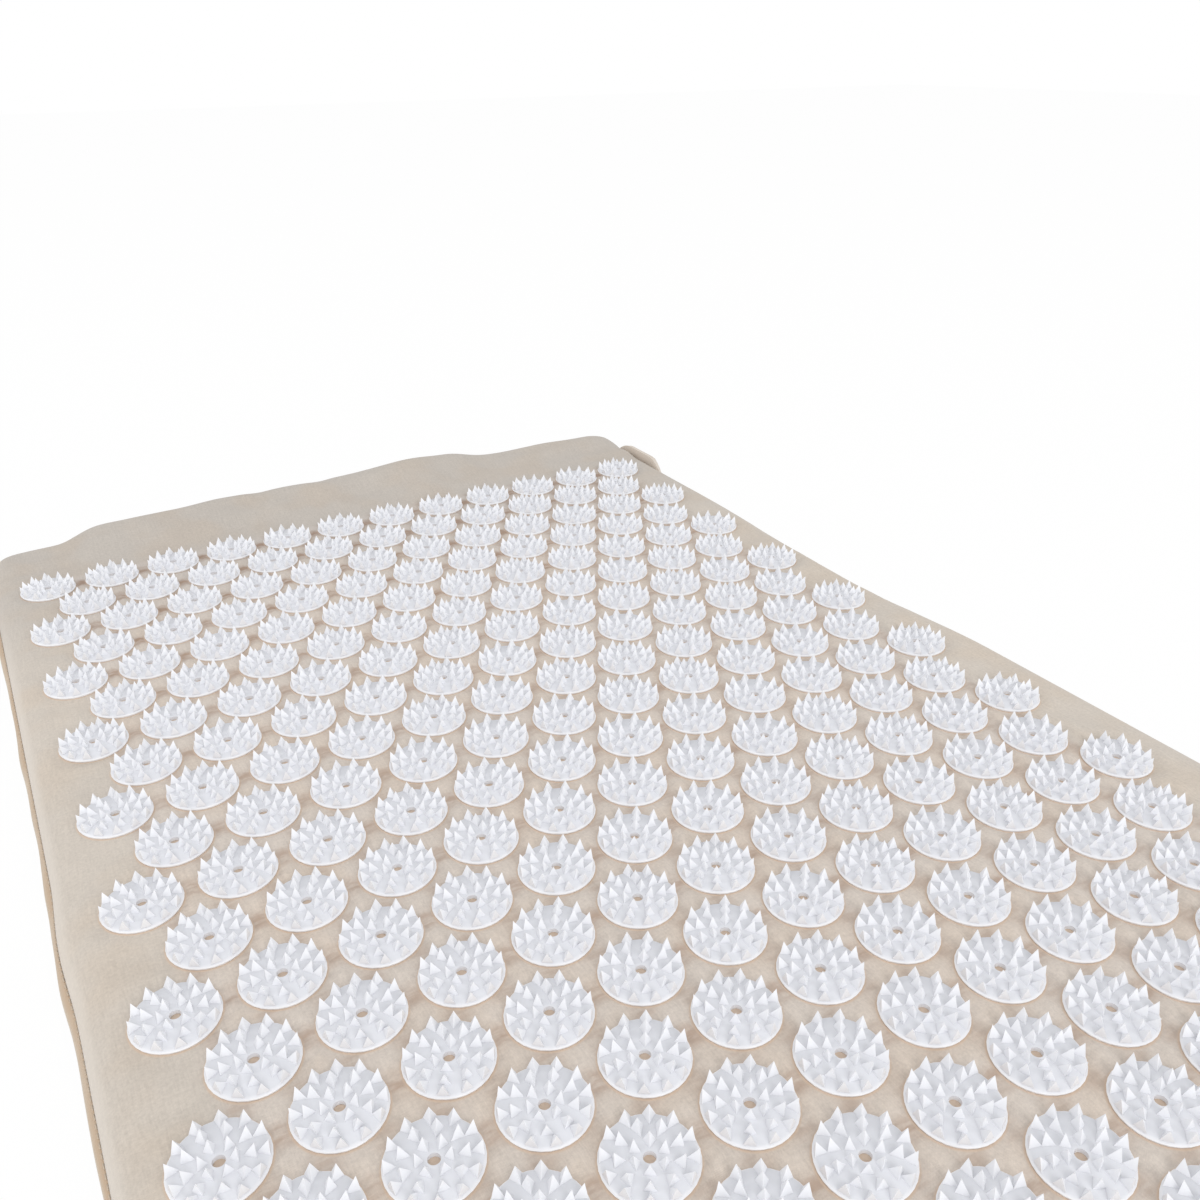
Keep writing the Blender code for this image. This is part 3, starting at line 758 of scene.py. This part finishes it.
# %% Thickness of the cloth
hidden_radius = disc_radius - 0.2 * mm


def join_hidden_faces(piece):
    """The cloth under a disc is flat and out of sight, so it becomes one face."""
    shape = bmesh.new()
    shape.from_mesh(piece.data)
    under = {vertex for vertex in shape.verts if nearest_disc(*vertex.co.xy)[1] < hidden_radius}
    hidden = [face for face in shape.faces if under.issuperset(face.verts)]
    bmesh.ops.dissolve_faces(shape, faces=hidden)
    shape.to_mesh(piece.data)
    shape.free()


def thicken(piece, thickness):
    """A live wall: the surface is the outer side of the cloth."""
    wall = piece.modifiers.new("cloth", "SOLIDIFY")
    wall.thickness = thickness
    wall.offset = -1.0


join_hidden_faces(top_panel)
thicken(top_panel, cloth_thickness)
print("top panel", len(top_panel.data.polygons), "faces on its outer side")
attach(top_panel, "mat")
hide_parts("cover_top_panel")

# %% [markdown]
# A disc is one injection moulding: a round plate with a hole, and 27 spikes in
# rings of 6, 9 and 12. Each spike is a pyramid with three sides, so it has a flat
# face towards the rim and a ridge towards the middle. The plate is a profile
# spun once round, and each spike is a cone primitive with three segments whose
# corners are then moved. With 230 discs on the mat, every face counts. Light and
# shade are painted onto the plastic: the spikes and the rim are painted whiter,
# as light through thin plastic, and the plate is painted greyer, as shade among
# the spikes. An attribute on the vertices says how much painted light each part
# gets.

# %% Disc plastic
disc_finish = Finish("white_disc_plastic", (0.88, 0.885, 0.91), 0.42)
disc_finish.set(Subsurface_Weight=0.12, Subsurface_Radius=(1.0, 1.0, 1.0), Subsurface_Scale=1.0 * mm)
spread = disc_finish.noise(disc_finish.place(), 60.0, 2.0)
spike_colour = disc_finish.mix(spread, (0.86, 0.865, 0.895), (0.90, 0.905, 0.925))
# Painted light and shade: the plate is a darker grey, as shade among the spikes, and the spikes and rim
# are whiter, as light through thin plastic.
painted_light = disc_finish.node("ShaderNodeAttribute", {"attribute_name": "painted_light"}, output="Fac")
disc_finish.set(Base_Color=disc_finish.mix(painted_light, (0.73, 0.74, 0.78), spike_colour))
print("disc finish", disc_finish.material.name)

# %% One disc
plate_thickness = 1.6 * mm
rim_height = 0.45 * plate_thickness
rim_bevel = 0.9 * mm
rim_undercut = 0.3 * mm
hole_radius = 1.85 * mm
plate_steps = 32
# How much painted light the rim and the spike feet get: the plate gets none, the spike tips all of it.
rim_light_share = 0.8
foot_light_share = 0.45
spike_height = 3.9 * mm
# How many spikes, then the radius of the inner foot, the outer feet and the tip.
spike_rings = (
    (6, 2.6 * mm, 5.3 * mm, 5.0 * mm),
    (9, 6.2 * mm, 9.8 * mm, 9.6 * mm),
    (12, 9.7 * mm, 13.35 * mm, 13.3 * mm),
)
spike_half_width = 1.9 * mm
spike_root = 0.1 * mm


def turned(shape, profile, steps):
    """Spins a closed profile of (radius, height) points once round the Z axis."""
    corners = [shape.verts.new((radius, 0.0, height)) for radius, height in profile]
    edges = [shape.edges.new((corners[i - 1], corners[i])) for i in range(len(corners))]
    bmesh.ops.spin(
        shape,
        geom=corners + edges,
        cent=(0.0, 0.0, 0.0),
        axis=(0.0, 0.0, 1.0),
        angle=full_turn,
        steps=steps,
        use_merge=True,
    )


def add_spike(shape, inner, outer, tip, angle):
    """One pyramid: two feet at the outer radius, one at the inner, and a sharp tip."""
    cone = bmesh.ops.create_cone(shape, cap_ends=True, segments=3, radius1=1.0, radius2=0.0, depth=1.0)
    corners = [vertex for vertex in cone["verts"] if vertex.co.z < 0.0]
    apex = [vertex for vertex in cone["verts"] if vertex.co.z > 0.0][0]
    corners.sort(key=lambda vertex: math.atan2(vertex.co.y, vertex.co.x))
    feet = ((outer, -spike_half_width), (outer, spike_half_width), (inner, 0.0))
    for vertex, (radius, side) in zip(corners, feet):
        vertex.co = Vector((radius, side, plate_thickness - spike_root))
    apex.co = Vector((tip, 0.0, plate_thickness + spike_height))
    turn = Matrix.Rotation(angle, 3, "Z")
    bmesh.ops.rotate(shape, verts=cone["verts"], cent=(0.0, 0.0, 0.0), matrix=turn)
    return cone["verts"]


def make_disc_shape():
    shape = bmesh.new()
    profile = (
        (hole_radius, 0.0),
        (hole_radius, plate_thickness),
        (disc_radius - rim_bevel, plate_thickness),
        (disc_radius, rim_height),
        (disc_radius - rim_undercut, 0.0),
    )
    turned(shape, profile, plate_steps)
    # Painted light on each vertex: the rim and spikes whiter, the plate left as shade.
    light_layer = shape.verts.layers.float.new("painted_light")
    for vertex in shape.verts:
        vertex[light_layer] = rim_light_share if vertex.co.z < 0.6 * plate_thickness else 0.0
    for count, inner, outer, tip in spike_rings:
        for step in range(count):
            for vertex in add_spike(shape, inner, outer, tip, full_turn * step / count):
                vertex[light_layer] = foot_light_share if vertex.co.z < 1.1 * plate_thickness else 1.0
    bmesh.ops.recalc_face_normals(shape, faces=shape.faces)
    return shape


disc_mesh = bpy.data.meshes.new("one_disc")
disc_shape = make_disc_shape()
disc_shape.to_mesh(disc_mesh)
print("one disc", len(disc_shape.faces), "faces")
disc_shape.free()

# %% Twenty rows of discs
turns = random.Random(7)
usual_turns = (51.0, 111.0)
turn_spread = 9.0
disc_lift = 0.05 * mm
disc_smooth_angle = math.radians(48.0)


def stamp(shape, mesh, matrix):
    """Adds a copy of a mesh to a shape, moved by a matrix."""
    start = len(shape.verts)
    shape.from_mesh(mesh)
    shape.verts.ensure_lookup_table()
    bmesh.ops.transform(shape, matrix=matrix, verts=shape.verts[start:])


def make_row(number, name):
    """One row of discs, each glued on with a turn of its own."""
    shape = bmesh.new()
    for place in all_rows[number]:
        aligned = math.radians(turns.choice(usual_turns) + turns.uniform(-turn_spread, turn_spread))
        seat = disc_seats[place] @ Matrix.Translation((0.0, 0.0, disc_lift))
        stamp(shape, disc_mesh, seat @ Matrix.Rotation(aligned, 4, "Z"))
    piece = finished(name.replace("disc_row", "spiked_discs"), shape, disc_finish, disc_smooth_angle)
    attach(piece, "mat")
    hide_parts(name)
    return len(piece.data.polygons)


faces = [make_row(number, name) for number, name in enumerate(row_names)]
print("disc rows", len(faces), "with", sum(faces), "faces")

# %% [markdown]
# The under panel is one tray of cloth. Its wall swells out past the seam, because
# the foam pushes it there, and it is cut low behind the zip. At the far right the
# foam doesn't fill it, so a loose corner stands out. It is a strip of grid bent
# round the outline: one column for each place on the outline, and one row for
# each ring from the flat middle up to the seam. The last ring turns in, so that
# the seam lies in a groove. An extruded outline would need its folds added later.

# %% The outline of the seam
outline_step = 4.0 * mm
corner_steps = 6


def outline_places():
    """Points of the rectangle through the seam, once round from the far left corner."""
    bends = shoulder_places(corner_radius, corner_steps)

    def line(half):
        low = [-half + place for place in bends]
        high = [half - place for place in reversed(bends)]
        straight = half - corner_radius
        count = round(2.0 * straight / outline_step)
        return low + [-straight + 2.0 * straight * cell / count for cell in range(count + 1)] + high

    across = line(half_width)
    along = line(half_length)
    far = [(x, half_length) for x in across]
    right = [(half_width, y) for y in reversed(along)]
    near = [(x, -half_length) for x in reversed(across)]
    left = [(-half_width, y) for y in along]
    return far[:-1] + right[:-1] + near[:-1] + left[:-1]


seam_places = outline_places()
print("places along the seam", len(seam_places))

# %% The rings of the under panel
window_half_length = 163.0 * mm
window_slope_run = 3.0 * mm
loose_corner_bulge = 7.0 * mm
loose_corner_rise = 11.0 * mm
loose_corner_start_y = half_length - 84.0 * mm
loose_corner_full_y = half_length - 59.0 * mm
loose_corner_fade_y = half_length - 33.0 * mm
fold_spacing = 34.0 * mm
fold_depth = 0.9 * mm
# Each pair is how far a ring lies outside the seam, and its height, in mm.
side_rings = (
    (-7.0, 0.0),
    (-3.5, 0.2),
    (-1.2, 0.8),
    (1.0, 2.6),
    (2.2, 5.4),
    (2.4, 8.0),
    (1.9, 10.8),
    (0.8, 13.0),
    (-0.8, 14.2),
)
far_rings = (
    (-7.0, 0.0),
    (-3.5, 0.1),
    (-1.4, 0.5),
    (-0.4, 1.6),
    (0.0, 4.0),
    (0.0, 7.0),
    (0.0, 10.5),
    (-0.2, 13.4),
    (-1.0, 14.2),
)
zip_rings = (
    (-7.0, 0.0),
    (-3.5, 0.1),
    (-1.4, 0.4),
    (-0.4, 1.0),
    (0.0, 1.8),
    (0.0, 2.6),
    (0.0, 3.3),
    (-0.3, 3.9),
    (-1.0, 3.9),
)
widest_outset = max(outset for outset, _ in side_rings) * mm
print("rings of the under panel", len(side_rings), "at most", widest_outset, "outside the seam")

# %% Points of the under panel
def far_wall_share(place, straight, run):
    """1 on the far wall's middle part, falling to 0 over a run past its ends."""
    if place[1] < half_length:
        return 0.0
    past = (abs(place[0]) - straight) / run
    return 1.0 - min(max(past, 0.0), 1.0)


def loose_corner_share(x, y):
    """1 where the far right corner of the cover is least filled."""
    if x < half_width:
        return 0.0
    started = eased(y, loose_corner_start_y, loose_corner_full_y)
    return started * (1.0 - eased(y, loose_corner_fade_y, half_length))


def outset_point(place, outset, height):
    """A point of the outline, moved out from the mat."""
    half_x = half_width + outset
    half_y = half_length + outset
    x = place[0] * half_x / half_width
    y = place[1] * half_y / half_length
    plan_x, plan_y = rounded_corner(x, y, half_x, half_y, corner_radius + outset)
    return Vector((drawn_in(plan_x, plan_y), plan_y, height))


def under_point(place, ring):
    """One point of the under panel, with the small folds that the seam gathers."""
    side = Vector(side_rings[ring])
    far = Vector(far_rings[ring])
    window = Vector(zip_rings[ring])
    far_share = far_wall_share(place, half_width - corner_radius, corner_radius)
    window_share = far_wall_share(place, window_half_length, window_slope_run)
    mixed = side.lerp(far, far_share).lerp(window, window_share) * mm
    swell = max(mixed.x, 0.0) / widest_outset
    fold = fold_depth * noise.noise(Vector((*place, 0.4 * mixed.y)) / fold_spacing)
    loose = loose_corner_share(*place)
    outset = mixed.x + fold * min(1.6 * swell, 1.0) + loose_corner_bulge * loose * swell**2
    lift = 0.0
    if ring < len(side_rings) - 1:
        lift = loose_corner_rise * loose * min(mixed.y / (10.0 * mm), 1.0)
    return outset_point(place, outset, mixed.y + lift)


print("first point of the highest ring", under_point(seam_places[0], len(side_rings) - 1)[:])

# %% The under panel
merge_reach = 0.01 * mm
floor_height = 0.05 * mm


def make_under_panel():
    """The rings, closed round the outline, and one flat face for the middle."""
    ring_count = len(side_rings)
    shape = bmesh.new()
    column_count = len(seam_places)
    bmesh.ops.create_grid(shape, x_segments=column_count, y_segments=ring_count - 1, size=1.0)
    layer = shape.loops.layers.uv.new("cloth")
    spots = {}
    for vertex in shape.verts:
        column = round((vertex.co.x + 1.0) / 2.0 * column_count)
        ring = round((vertex.co.y + 1.0) / 2.0 * (ring_count - 1))
        spots[vertex] = (column * outline_step, ring * outline_step / 2.0)
        vertex.co = under_point(seam_places[column % column_count], ring)
    for face in shape.faces:
        for loop in face.loops:
            loop[layer].uv = spots[loop.vert]
    bmesh.ops.remove_doubles(shape, verts=shape.verts, dist=merge_reach)
    open_edges = [edge for edge in shape.edges if edge.is_boundary]
    lowest = [edge for edge in open_edges if max(v.co.z for v in edge.verts) < floor_height]
    middle = bmesh.ops.contextual_create(shape, geom=lowest)["faces"][0]
    for loop in middle.loops:
        loop[layer].uv = loop.vert.co.xy
    bmesh.ops.recalc_face_normals(shape, faces=shape.faces)
    if middle.normal.z > 0.0:
        bmesh.ops.reverse_faces(shape, faces=shape.faces)
    return finished("cover_under", shape, under_finish, soft_angle)


under_panel = make_under_panel()
thicken(under_panel, cloth_thickness)
print("under panel", len(under_panel.data.polygons), "faces")
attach(under_panel, "mat")
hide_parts("cover_bottom_panel")

# %% [markdown]
# The two panels are sewn together from the inside, so the seam shows as a groove
# with a short stitch every few millimetres. One stitch is a bevelled cube. It is
# copied along the seam, each copy turned to the run of the cloth.

# %% Sewing thread
thread_finish = Finish("sewing_thread", (0.54, 0.44, 0.34), 0.75)
strand = thread_finish.noise(thread_finish.place(), 2500.0, 1.0)
thread_finish.set(Base_Color=thread_finish.mix(strand, (0.46, 0.36, 0.27), (0.62, 0.52, 0.41)))
stitch_pitch = 3.6 * mm
stitch_length = 2.1 * mm
stitch_width = 0.6 * mm
stitch_bevel = 0.18 * mm


def stitch_mesh():
    shape = bmesh.new()
    bmesh.ops.create_cube(shape, size=1.0)
    bmesh.ops.scale(shape, vec=(stitch_length, stitch_width, stitch_width), verts=shape.verts)
    bmesh.ops.bevel(
        shape,
        geom=shape.edges,
        offset=stitch_bevel,
        segments=1,
        affect="EDGES",
        profile=0.5,
        material=-1,
    )
    mesh = bpy.data.meshes.new("one_stitch")
    shape.to_mesh(mesh)
    shape.free()
    return mesh


one_stitch = stitch_mesh()
print("one stitch", len(one_stitch.polygons), "faces")

# %% Sewing along a line
def walked(points, pitch):
    """Places one pitch apart along a line of points, each with its direction."""
    places = []
    spare = 0.0
    for start, end in zip(points, points[1:]):
        run = (end - start).length
        direction = (end - start).normalized()
        at = spare
        while at < run:
            places.append((start + direction * at, direction))
            at += pitch
        spare = at - run
    return places


def sew(name, points, node):
    """A row of stitches along a line of points."""
    shape = bmesh.new()
    for place, direction in walked(points, stitch_pitch):
        turn = direction.to_track_quat("X", "Z").to_matrix().to_4x4()
        stamp(shape, one_stitch, Matrix.Translation(place) @ turn)
    piece = finished(name, shape, thread_finish, soft_angle)
    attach(piece, "mat")
    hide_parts(node)
    print(name, len(piece.data.polygons), "faces")

# %% Seam stitches
seam_stitch_height = 13.9 * mm
seam_stitch_outset = 0.3 * mm
seam_line = []
for place in seam_places:
    seam_line.append((place, outset_point(place, seam_stitch_outset, seam_stitch_height)))
straight_y = half_length - corner_radius
right_seam = [point for (x, y), point in seam_line if x >= half_width and abs(y) <= straight_y]
left_seam = [point for (x, y), point in seam_line if x <= -half_width and abs(y) <= straight_y]
near_seam = [point for (x, y), point in seam_line if y < -straight_y]
near_seam.sort(key=lambda point: math.atan2(point.x, -point.y))
sew("seam_stitches_right", right_seam, "seam_thread_right")
sew("seam_stitches_left", left_seam, "seam_thread_left")
sew("seam_stitches_near", near_seam, "seam_thread_near")
print("seam stitches along", len(right_seam) + len(left_seam) + len(near_seam), "places")

# %% [markdown]
# The foam core is hidden, but it is a real piece, so it takes the solid model's
# own form. A copy of that mesh is loose triangles: its doubles are merged, flat
# triangles are joined into faces, and a bevel rounds what was cut with a knife.
# The foam is then pressed a little, as the cover does, so that it stays below the
# cloth. The metal parts of the zip are made from their solids in the same way.

# %% A finer copy of a solid
copy_merge_reach = 0.005 * mm
flat_angle = math.radians(1.0)
sharp_angle = math.radians(30.0)


def finer_copy(node, name, finish, edge, segments, body):
    """The solid's mesh, with clean flat faces and its sharp edges rounded."""
    shape = bmesh.new()
    shape.from_mesh(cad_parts[node].data)
    bmesh.ops.remove_doubles(shape, verts=shape.verts, dist=copy_merge_reach)
    bmesh.ops.dissolve_limit(shape, angle_limit=flat_angle, verts=shape.verts, edges=shape.edges)
    creases = [e for e in shape.edges if e.is_manifold and e.calc_face_angle() > sharp_angle]
    bmesh.ops.bevel(
        shape,
        geom=creases,
        offset=edge,
        segments=segments,
        affect="EDGES",
        profile=0.5,
        material=-1,
        clamp_overlap=True,
    )
    piece = finished(name, shape, finish, hard_angle)
    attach(piece, body)
    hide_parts(node)
    print(name, len(piece.data.polygons), "faces")
    return piece

# %% The foam
foam_finish = Finish("white_foam", (0.82, 0.80, 0.74), 0.95)
cells = foam_finish.noise(foam_finish.place(), 700.0, 2.0, 0.7)
foam_finish.set(Base_Color=foam_finish.mix(cells, (0.70, 0.68, 0.60), (0.88, 0.87, 0.82)))
foam_finish.bump(cells, 0.6, 0.3 * mm)
foam_edge = 1.2 * mm
foam_pressed_share = 0.965
foam = finer_copy("foam_core", "foam_cushion", foam_finish, foam_edge, 2, "mat")
for vertex in foam.data.vertices:
    vertex.co.z *= foam_pressed_share

# %% [markdown]
# The zip closes the far end, where the photograph doesn't look. A coil zip is a
# nylon wire wound in flat loops along the edge of each tape. A circle of four
# points, spun about the coil's axis while it moves along it, makes one turn of
# the spring. A scale flattens it, and copies of it make the whole chain. The ends
# of the tapes are tucked behind the cover, so that no opening shows there.

# %% Zip finishes
rib_width = 0.7 * mm
rib_height = 0.5 * mm
tape_finish = Finish("zip_tape_weave", (0.52, 0.45, 0.36), 0.85)
tape_x, _, tape_z = tape_finish.split(tape_finish.place())
rib = (tape_x * (full_turn / rib_width)).maths("SINE")
rib = rib * (tape_z * (full_turn / rib_height)).maths("SINE")
tape_shade = tape_finish.mix(rib * 0.5 + 0.5, (0.44, 0.37, 0.29), (0.58, 0.51, 0.42))
tape_finish.set(Base_Color=tape_shade)
tape_finish.bump(rib, 0.5, 0.08 * mm)

coil_finish = Finish("zip_coil_nylon", (0.60, 0.54, 0.46), 0.4)
coil_tone = coil_finish.noise(coil_finish.place(), 400.0)
coil_finish.set(Base_Color=coil_finish.mix(coil_tone, (0.54, 0.47, 0.38), (0.66, 0.60, 0.51)))

metal_finish = Finish("zip_metal", (0.62, 0.61, 0.59), 0.3, Metallic=1.0)
brush_lines = metal_finish.stretched(metal_finish.place(), (250.0, 2500.0, 2500.0))
brushed = metal_finish.noise(brush_lines, 1.0, 3.0, 0.6)
metal_finish.set(Roughness=0.24 + 0.2 * brushed)
metal_finish.set(Base_Color=metal_finish.mix(brushed, (0.55, 0.54, 0.52), (0.68, 0.67, 0.65)))
metal_finish.bump(brushed, 0.15, 0.02 * mm)
for finish in (tape_finish, coil_finish, metal_finish):
    print("finish", finish.material.name)

# %% Coils
zip_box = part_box("zip_coil_lower")
upper_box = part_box("zip_coil_upper")
chain_start = zip_box[0].x
chain_length = zip_box[1].x - zip_box[0].x
chain_y = (zip_box[0].y + zip_box[1].y) / 2.0
chain_z = (zip_box[0].z + upper_box[1].z) / 2.0
coil_pitch = 1.5 * mm
wire_radius = 0.3 * mm
wire_sides = 4
slot_half_height = 0.5 * mm
loop_steps = 10


def make_coil(name, node, side, offset):
    """One side of the chain: side is 1 above the middle line and -1 below it."""
    outer = (upper_box[1].z - chain_z) - wire_radius
    inner = slot_half_height + wire_radius
    loop_height = outer - inner
    loop_depth = (zip_box[1].y - zip_box[0].y) - 2.0 * wire_radius
    turn = bmesh.new()
    bmesh.ops.create_circle(turn, cap_ends=False, segments=wire_sides, radius=wire_radius)
    bmesh.ops.translate(turn, vec=(0.0, 0.0, 0.5 * loop_height), verts=turn.verts)
    bmesh.ops.spin(
        turn,
        geom=list(turn.verts) + list(turn.edges),
        cent=(0.0, 0.0, 0.0),
        axis=(1.0, 0.0, 0.0),
        dvec=(coil_pitch / loop_steps, 0.0, 0.0),
        angle=full_turn,
        steps=loop_steps,
        use_merge=False,
    )
    one_turn = bpy.data.meshes.new("one_turn")
    turn.to_mesh(one_turn)
    turn.free()
    shape = bmesh.new()
    flatten = Matrix.Diagonal((1.0, loop_depth / loop_height, 1.0, 1.0))
    middle = chain_z + side * (inner + outer) / 2.0
    for number in range(int(chain_length / coil_pitch) - 1):
        place = Vector((chain_start + coil_pitch * (offset + number), chain_y, middle))
        stamp(shape, one_turn, Matrix.Translation(place) @ flatten)
    bmesh.ops.remove_doubles(shape, verts=shape.verts, dist=merge_reach)
    bmesh.ops.holes_fill(shape, edges=[edge for edge in shape.edges if edge.is_boundary])
    bmesh.ops.recalc_face_normals(shape, faces=shape.faces)
    coil = finished(name, shape, coil_finish, soft_angle)
    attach(coil, "mat")
    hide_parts(node)
    return len(coil.data.polygons)


print("coil faces", make_coil("zip_coil_low", "zip_coil_lower", -1.0, 0.25))
print("coil faces", make_coil("zip_coil_high", "zip_coil_upper", 1.0, 0.75))

# %% Tapes
tape_tuck = 1.6 * mm
tape_lean = 0.9 * mm
tape_overlap = 4.0 * mm
tape_end_setback = 0.25 * mm
tape_ripple = 0.12 * mm
ripple_spacing = 9.0 * mm


def make_tape(name, node, tucked_up):
    """A woven strip. Its outer edge and its ends are tucked behind the cover."""
    low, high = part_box(node)
    shape = bmesh.new()
    bmesh.ops.create_cube(shape, size=1.0)
    bmesh.ops.scale(shape, vec=high - low, verts=shape.verts)
    bmesh.ops.translate(shape, vec=(high + low) / 2.0, verts=shape.verts)
    outer = [v for v in shape.verts if (v.co.z > (low.z + high.z) / 2.0) == tucked_up]
    pushed = [face for face in shape.faces if all(vertex in outer for vertex in face.verts)]
    moved = bmesh.ops.extrude_discrete_faces(shape, faces=pushed)["faces"][0].verts
    bmesh.ops.translate(shape, vec=(0.0, -tape_lean, tape_tuck if tucked_up else -tape_tuck), verts=moved)
    long_edges = [edge for edge in shape.edges if edge.calc_length() > 0.5 * (high.x - low.x)]
    bmesh.ops.subdivide_edges(shape, edges=long_edges, cuts=80, use_grid_fill=True)
    half = (high.x - low.x) / 2.0
    for vertex in shape.verts:
        vertex.co.x *= (half + tape_overlap) / half
        at_end = eased(abs(vertex.co.x), half - 2.0 * tape_overlap, half)
        ripple = tape_ripple * noise.noise(vertex.co / ripple_spacing)
        vertex.co.y += ripple - tape_end_setback * at_end
    bmesh.ops.recalc_face_normals(shape, faces=shape.faces)
    tape = finished(name, shape, tape_finish, hard_angle)
    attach(tape, "mat")
    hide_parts(node)
    return len(tape.data.polygons)


print("tape faces", make_tape("zip_tape_low", "zip_tape_lower", False))
print("tape faces", make_tape("zip_tape_high", "zip_tape_upper", True))

# %% Metal parts
metal_edge = 0.2 * mm
slider_edge = 0.22 * mm
finer_copy("zip_bottom_stop", "zip_stop_bottom", metal_finish, metal_edge, 2, "mat")
finer_copy("zip_top_stop_lower", "zip_stop_top_low", metal_finish, metal_edge, 2, "mat")
finer_copy("zip_top_stop_upper", "zip_stop_top_high", metal_finish, metal_edge, 2, "mat")
finer_copy("zip_slider_body", "zip_slider", metal_finish, slider_edge, 2, "zip_slider")
finer_copy("zip_pull_tab", "zip_pull", metal_finish, metal_edge, 3, "zip_pull")

# %% [markdown]
# The light is a pale studio: an even sky that fills the shadows, and two large
# soft lamps, the stronger one in front of the mat. The floor and the background
# are white to the camera and in reflections only. A brighter sky would whiten
# them too, but it would wash out the cloth. The floor still keeps its shadow.

# %% Lamps
def soft_lamp(name, place, target, size, power):
    data = bpy.data.lights.new(name, "AREA")
    data.shape = "DISK"
    data.size = size
    data.energy = power
    lamp = bpy.data.objects.new(name, data)
    bpy.context.scene.collection.objects.link(lamp)
    turn = (Vector(target) - Vector(place)).to_track_quat("-Z", "Y").to_matrix().to_4x4()
    lamp.matrix_world = Matrix.Translation(place) @ turn
    print(name, "of", power, "watts")


mat_middle = (0.0, 0.0, 0.0)
soft_lamp("front_softbox", (-0.3, -2.9, 1.6), mat_middle, 2.4, 42.0)
soft_lamp("side_softbox", (-1.9, 0.6, 1.7), mat_middle, 1.6, 8.0)

# %% Floor
floor_shape = bmesh.new()
bmesh.ops.create_grid(floor_shape, x_segments=1, y_segments=1, size=6.0)
floor_finish = Finish("studio_floor", (0.95, 0.95, 0.95), 0.9)
camera_ray = floor_finish.node("ShaderNodeLightPath", output="Is Camera Ray")
glossy_ray = floor_finish.node("ShaderNodeLightPath", output="Is Glossy Ray")
seen = camera_ray.maths("MAXIMUM", glossy_ray)
glow = floor_finish.node("ShaderNodeEmission", None, {"Color": (1.0, 1.0, 1.0, 1.0), "Strength": 1.0})
output = floor_finish.tree.nodes["Material Output"]
body = Socket(floor_finish, floor_finish.shader.outputs[0])
mixed = floor_finish.node("ShaderNodeMixShader", None, {0: seen * 0.95, 1: body, 2: glow})
floor_finish.feed(output, {"Surface": mixed})
floor = finished("studio_floor", floor_shape, floor_finish)
print("floor", floor.name)

# %% Background
world = bpy.data.worlds.new("studio")
bpy.context.scene.world = world
world.use_nodes = True
tree = world.node_tree
sky = tree.nodes["Background"]
sky.inputs["Color"].default_value = (1.0, 1.0, 1.0, 1.0)
sky.inputs["Strength"].default_value = 0.80
white = tree.nodes.new("ShaderNodeBackground")
white.inputs["Color"].default_value = (1.0, 1.0, 1.0, 1.0)
white.inputs["Strength"].default_value = 1.0
paths = tree.nodes.new("ShaderNodeLightPath")
either = tree.nodes.new("ShaderNodeMath")
either.operation = "MAXIMUM"
tree.links.new(paths.outputs["Is Camera Ray"], either.inputs[0])
tree.links.new(paths.outputs["Is Glossy Ray"], either.inputs[1])
choice = tree.nodes.new("ShaderNodeMixShader")
tree.links.new(either.outputs[0], choice.inputs[0])
tree.links.new(sky.outputs[0], choice.inputs[1])
tree.links.new(white.outputs[0], choice.inputs[2])
tree.links.new(choice.outputs[0], tree.nodes["World Output"].inputs["Surface"])
bpy.context.scene.view_settings.view_transform = "Standard"
print("background", world.name)
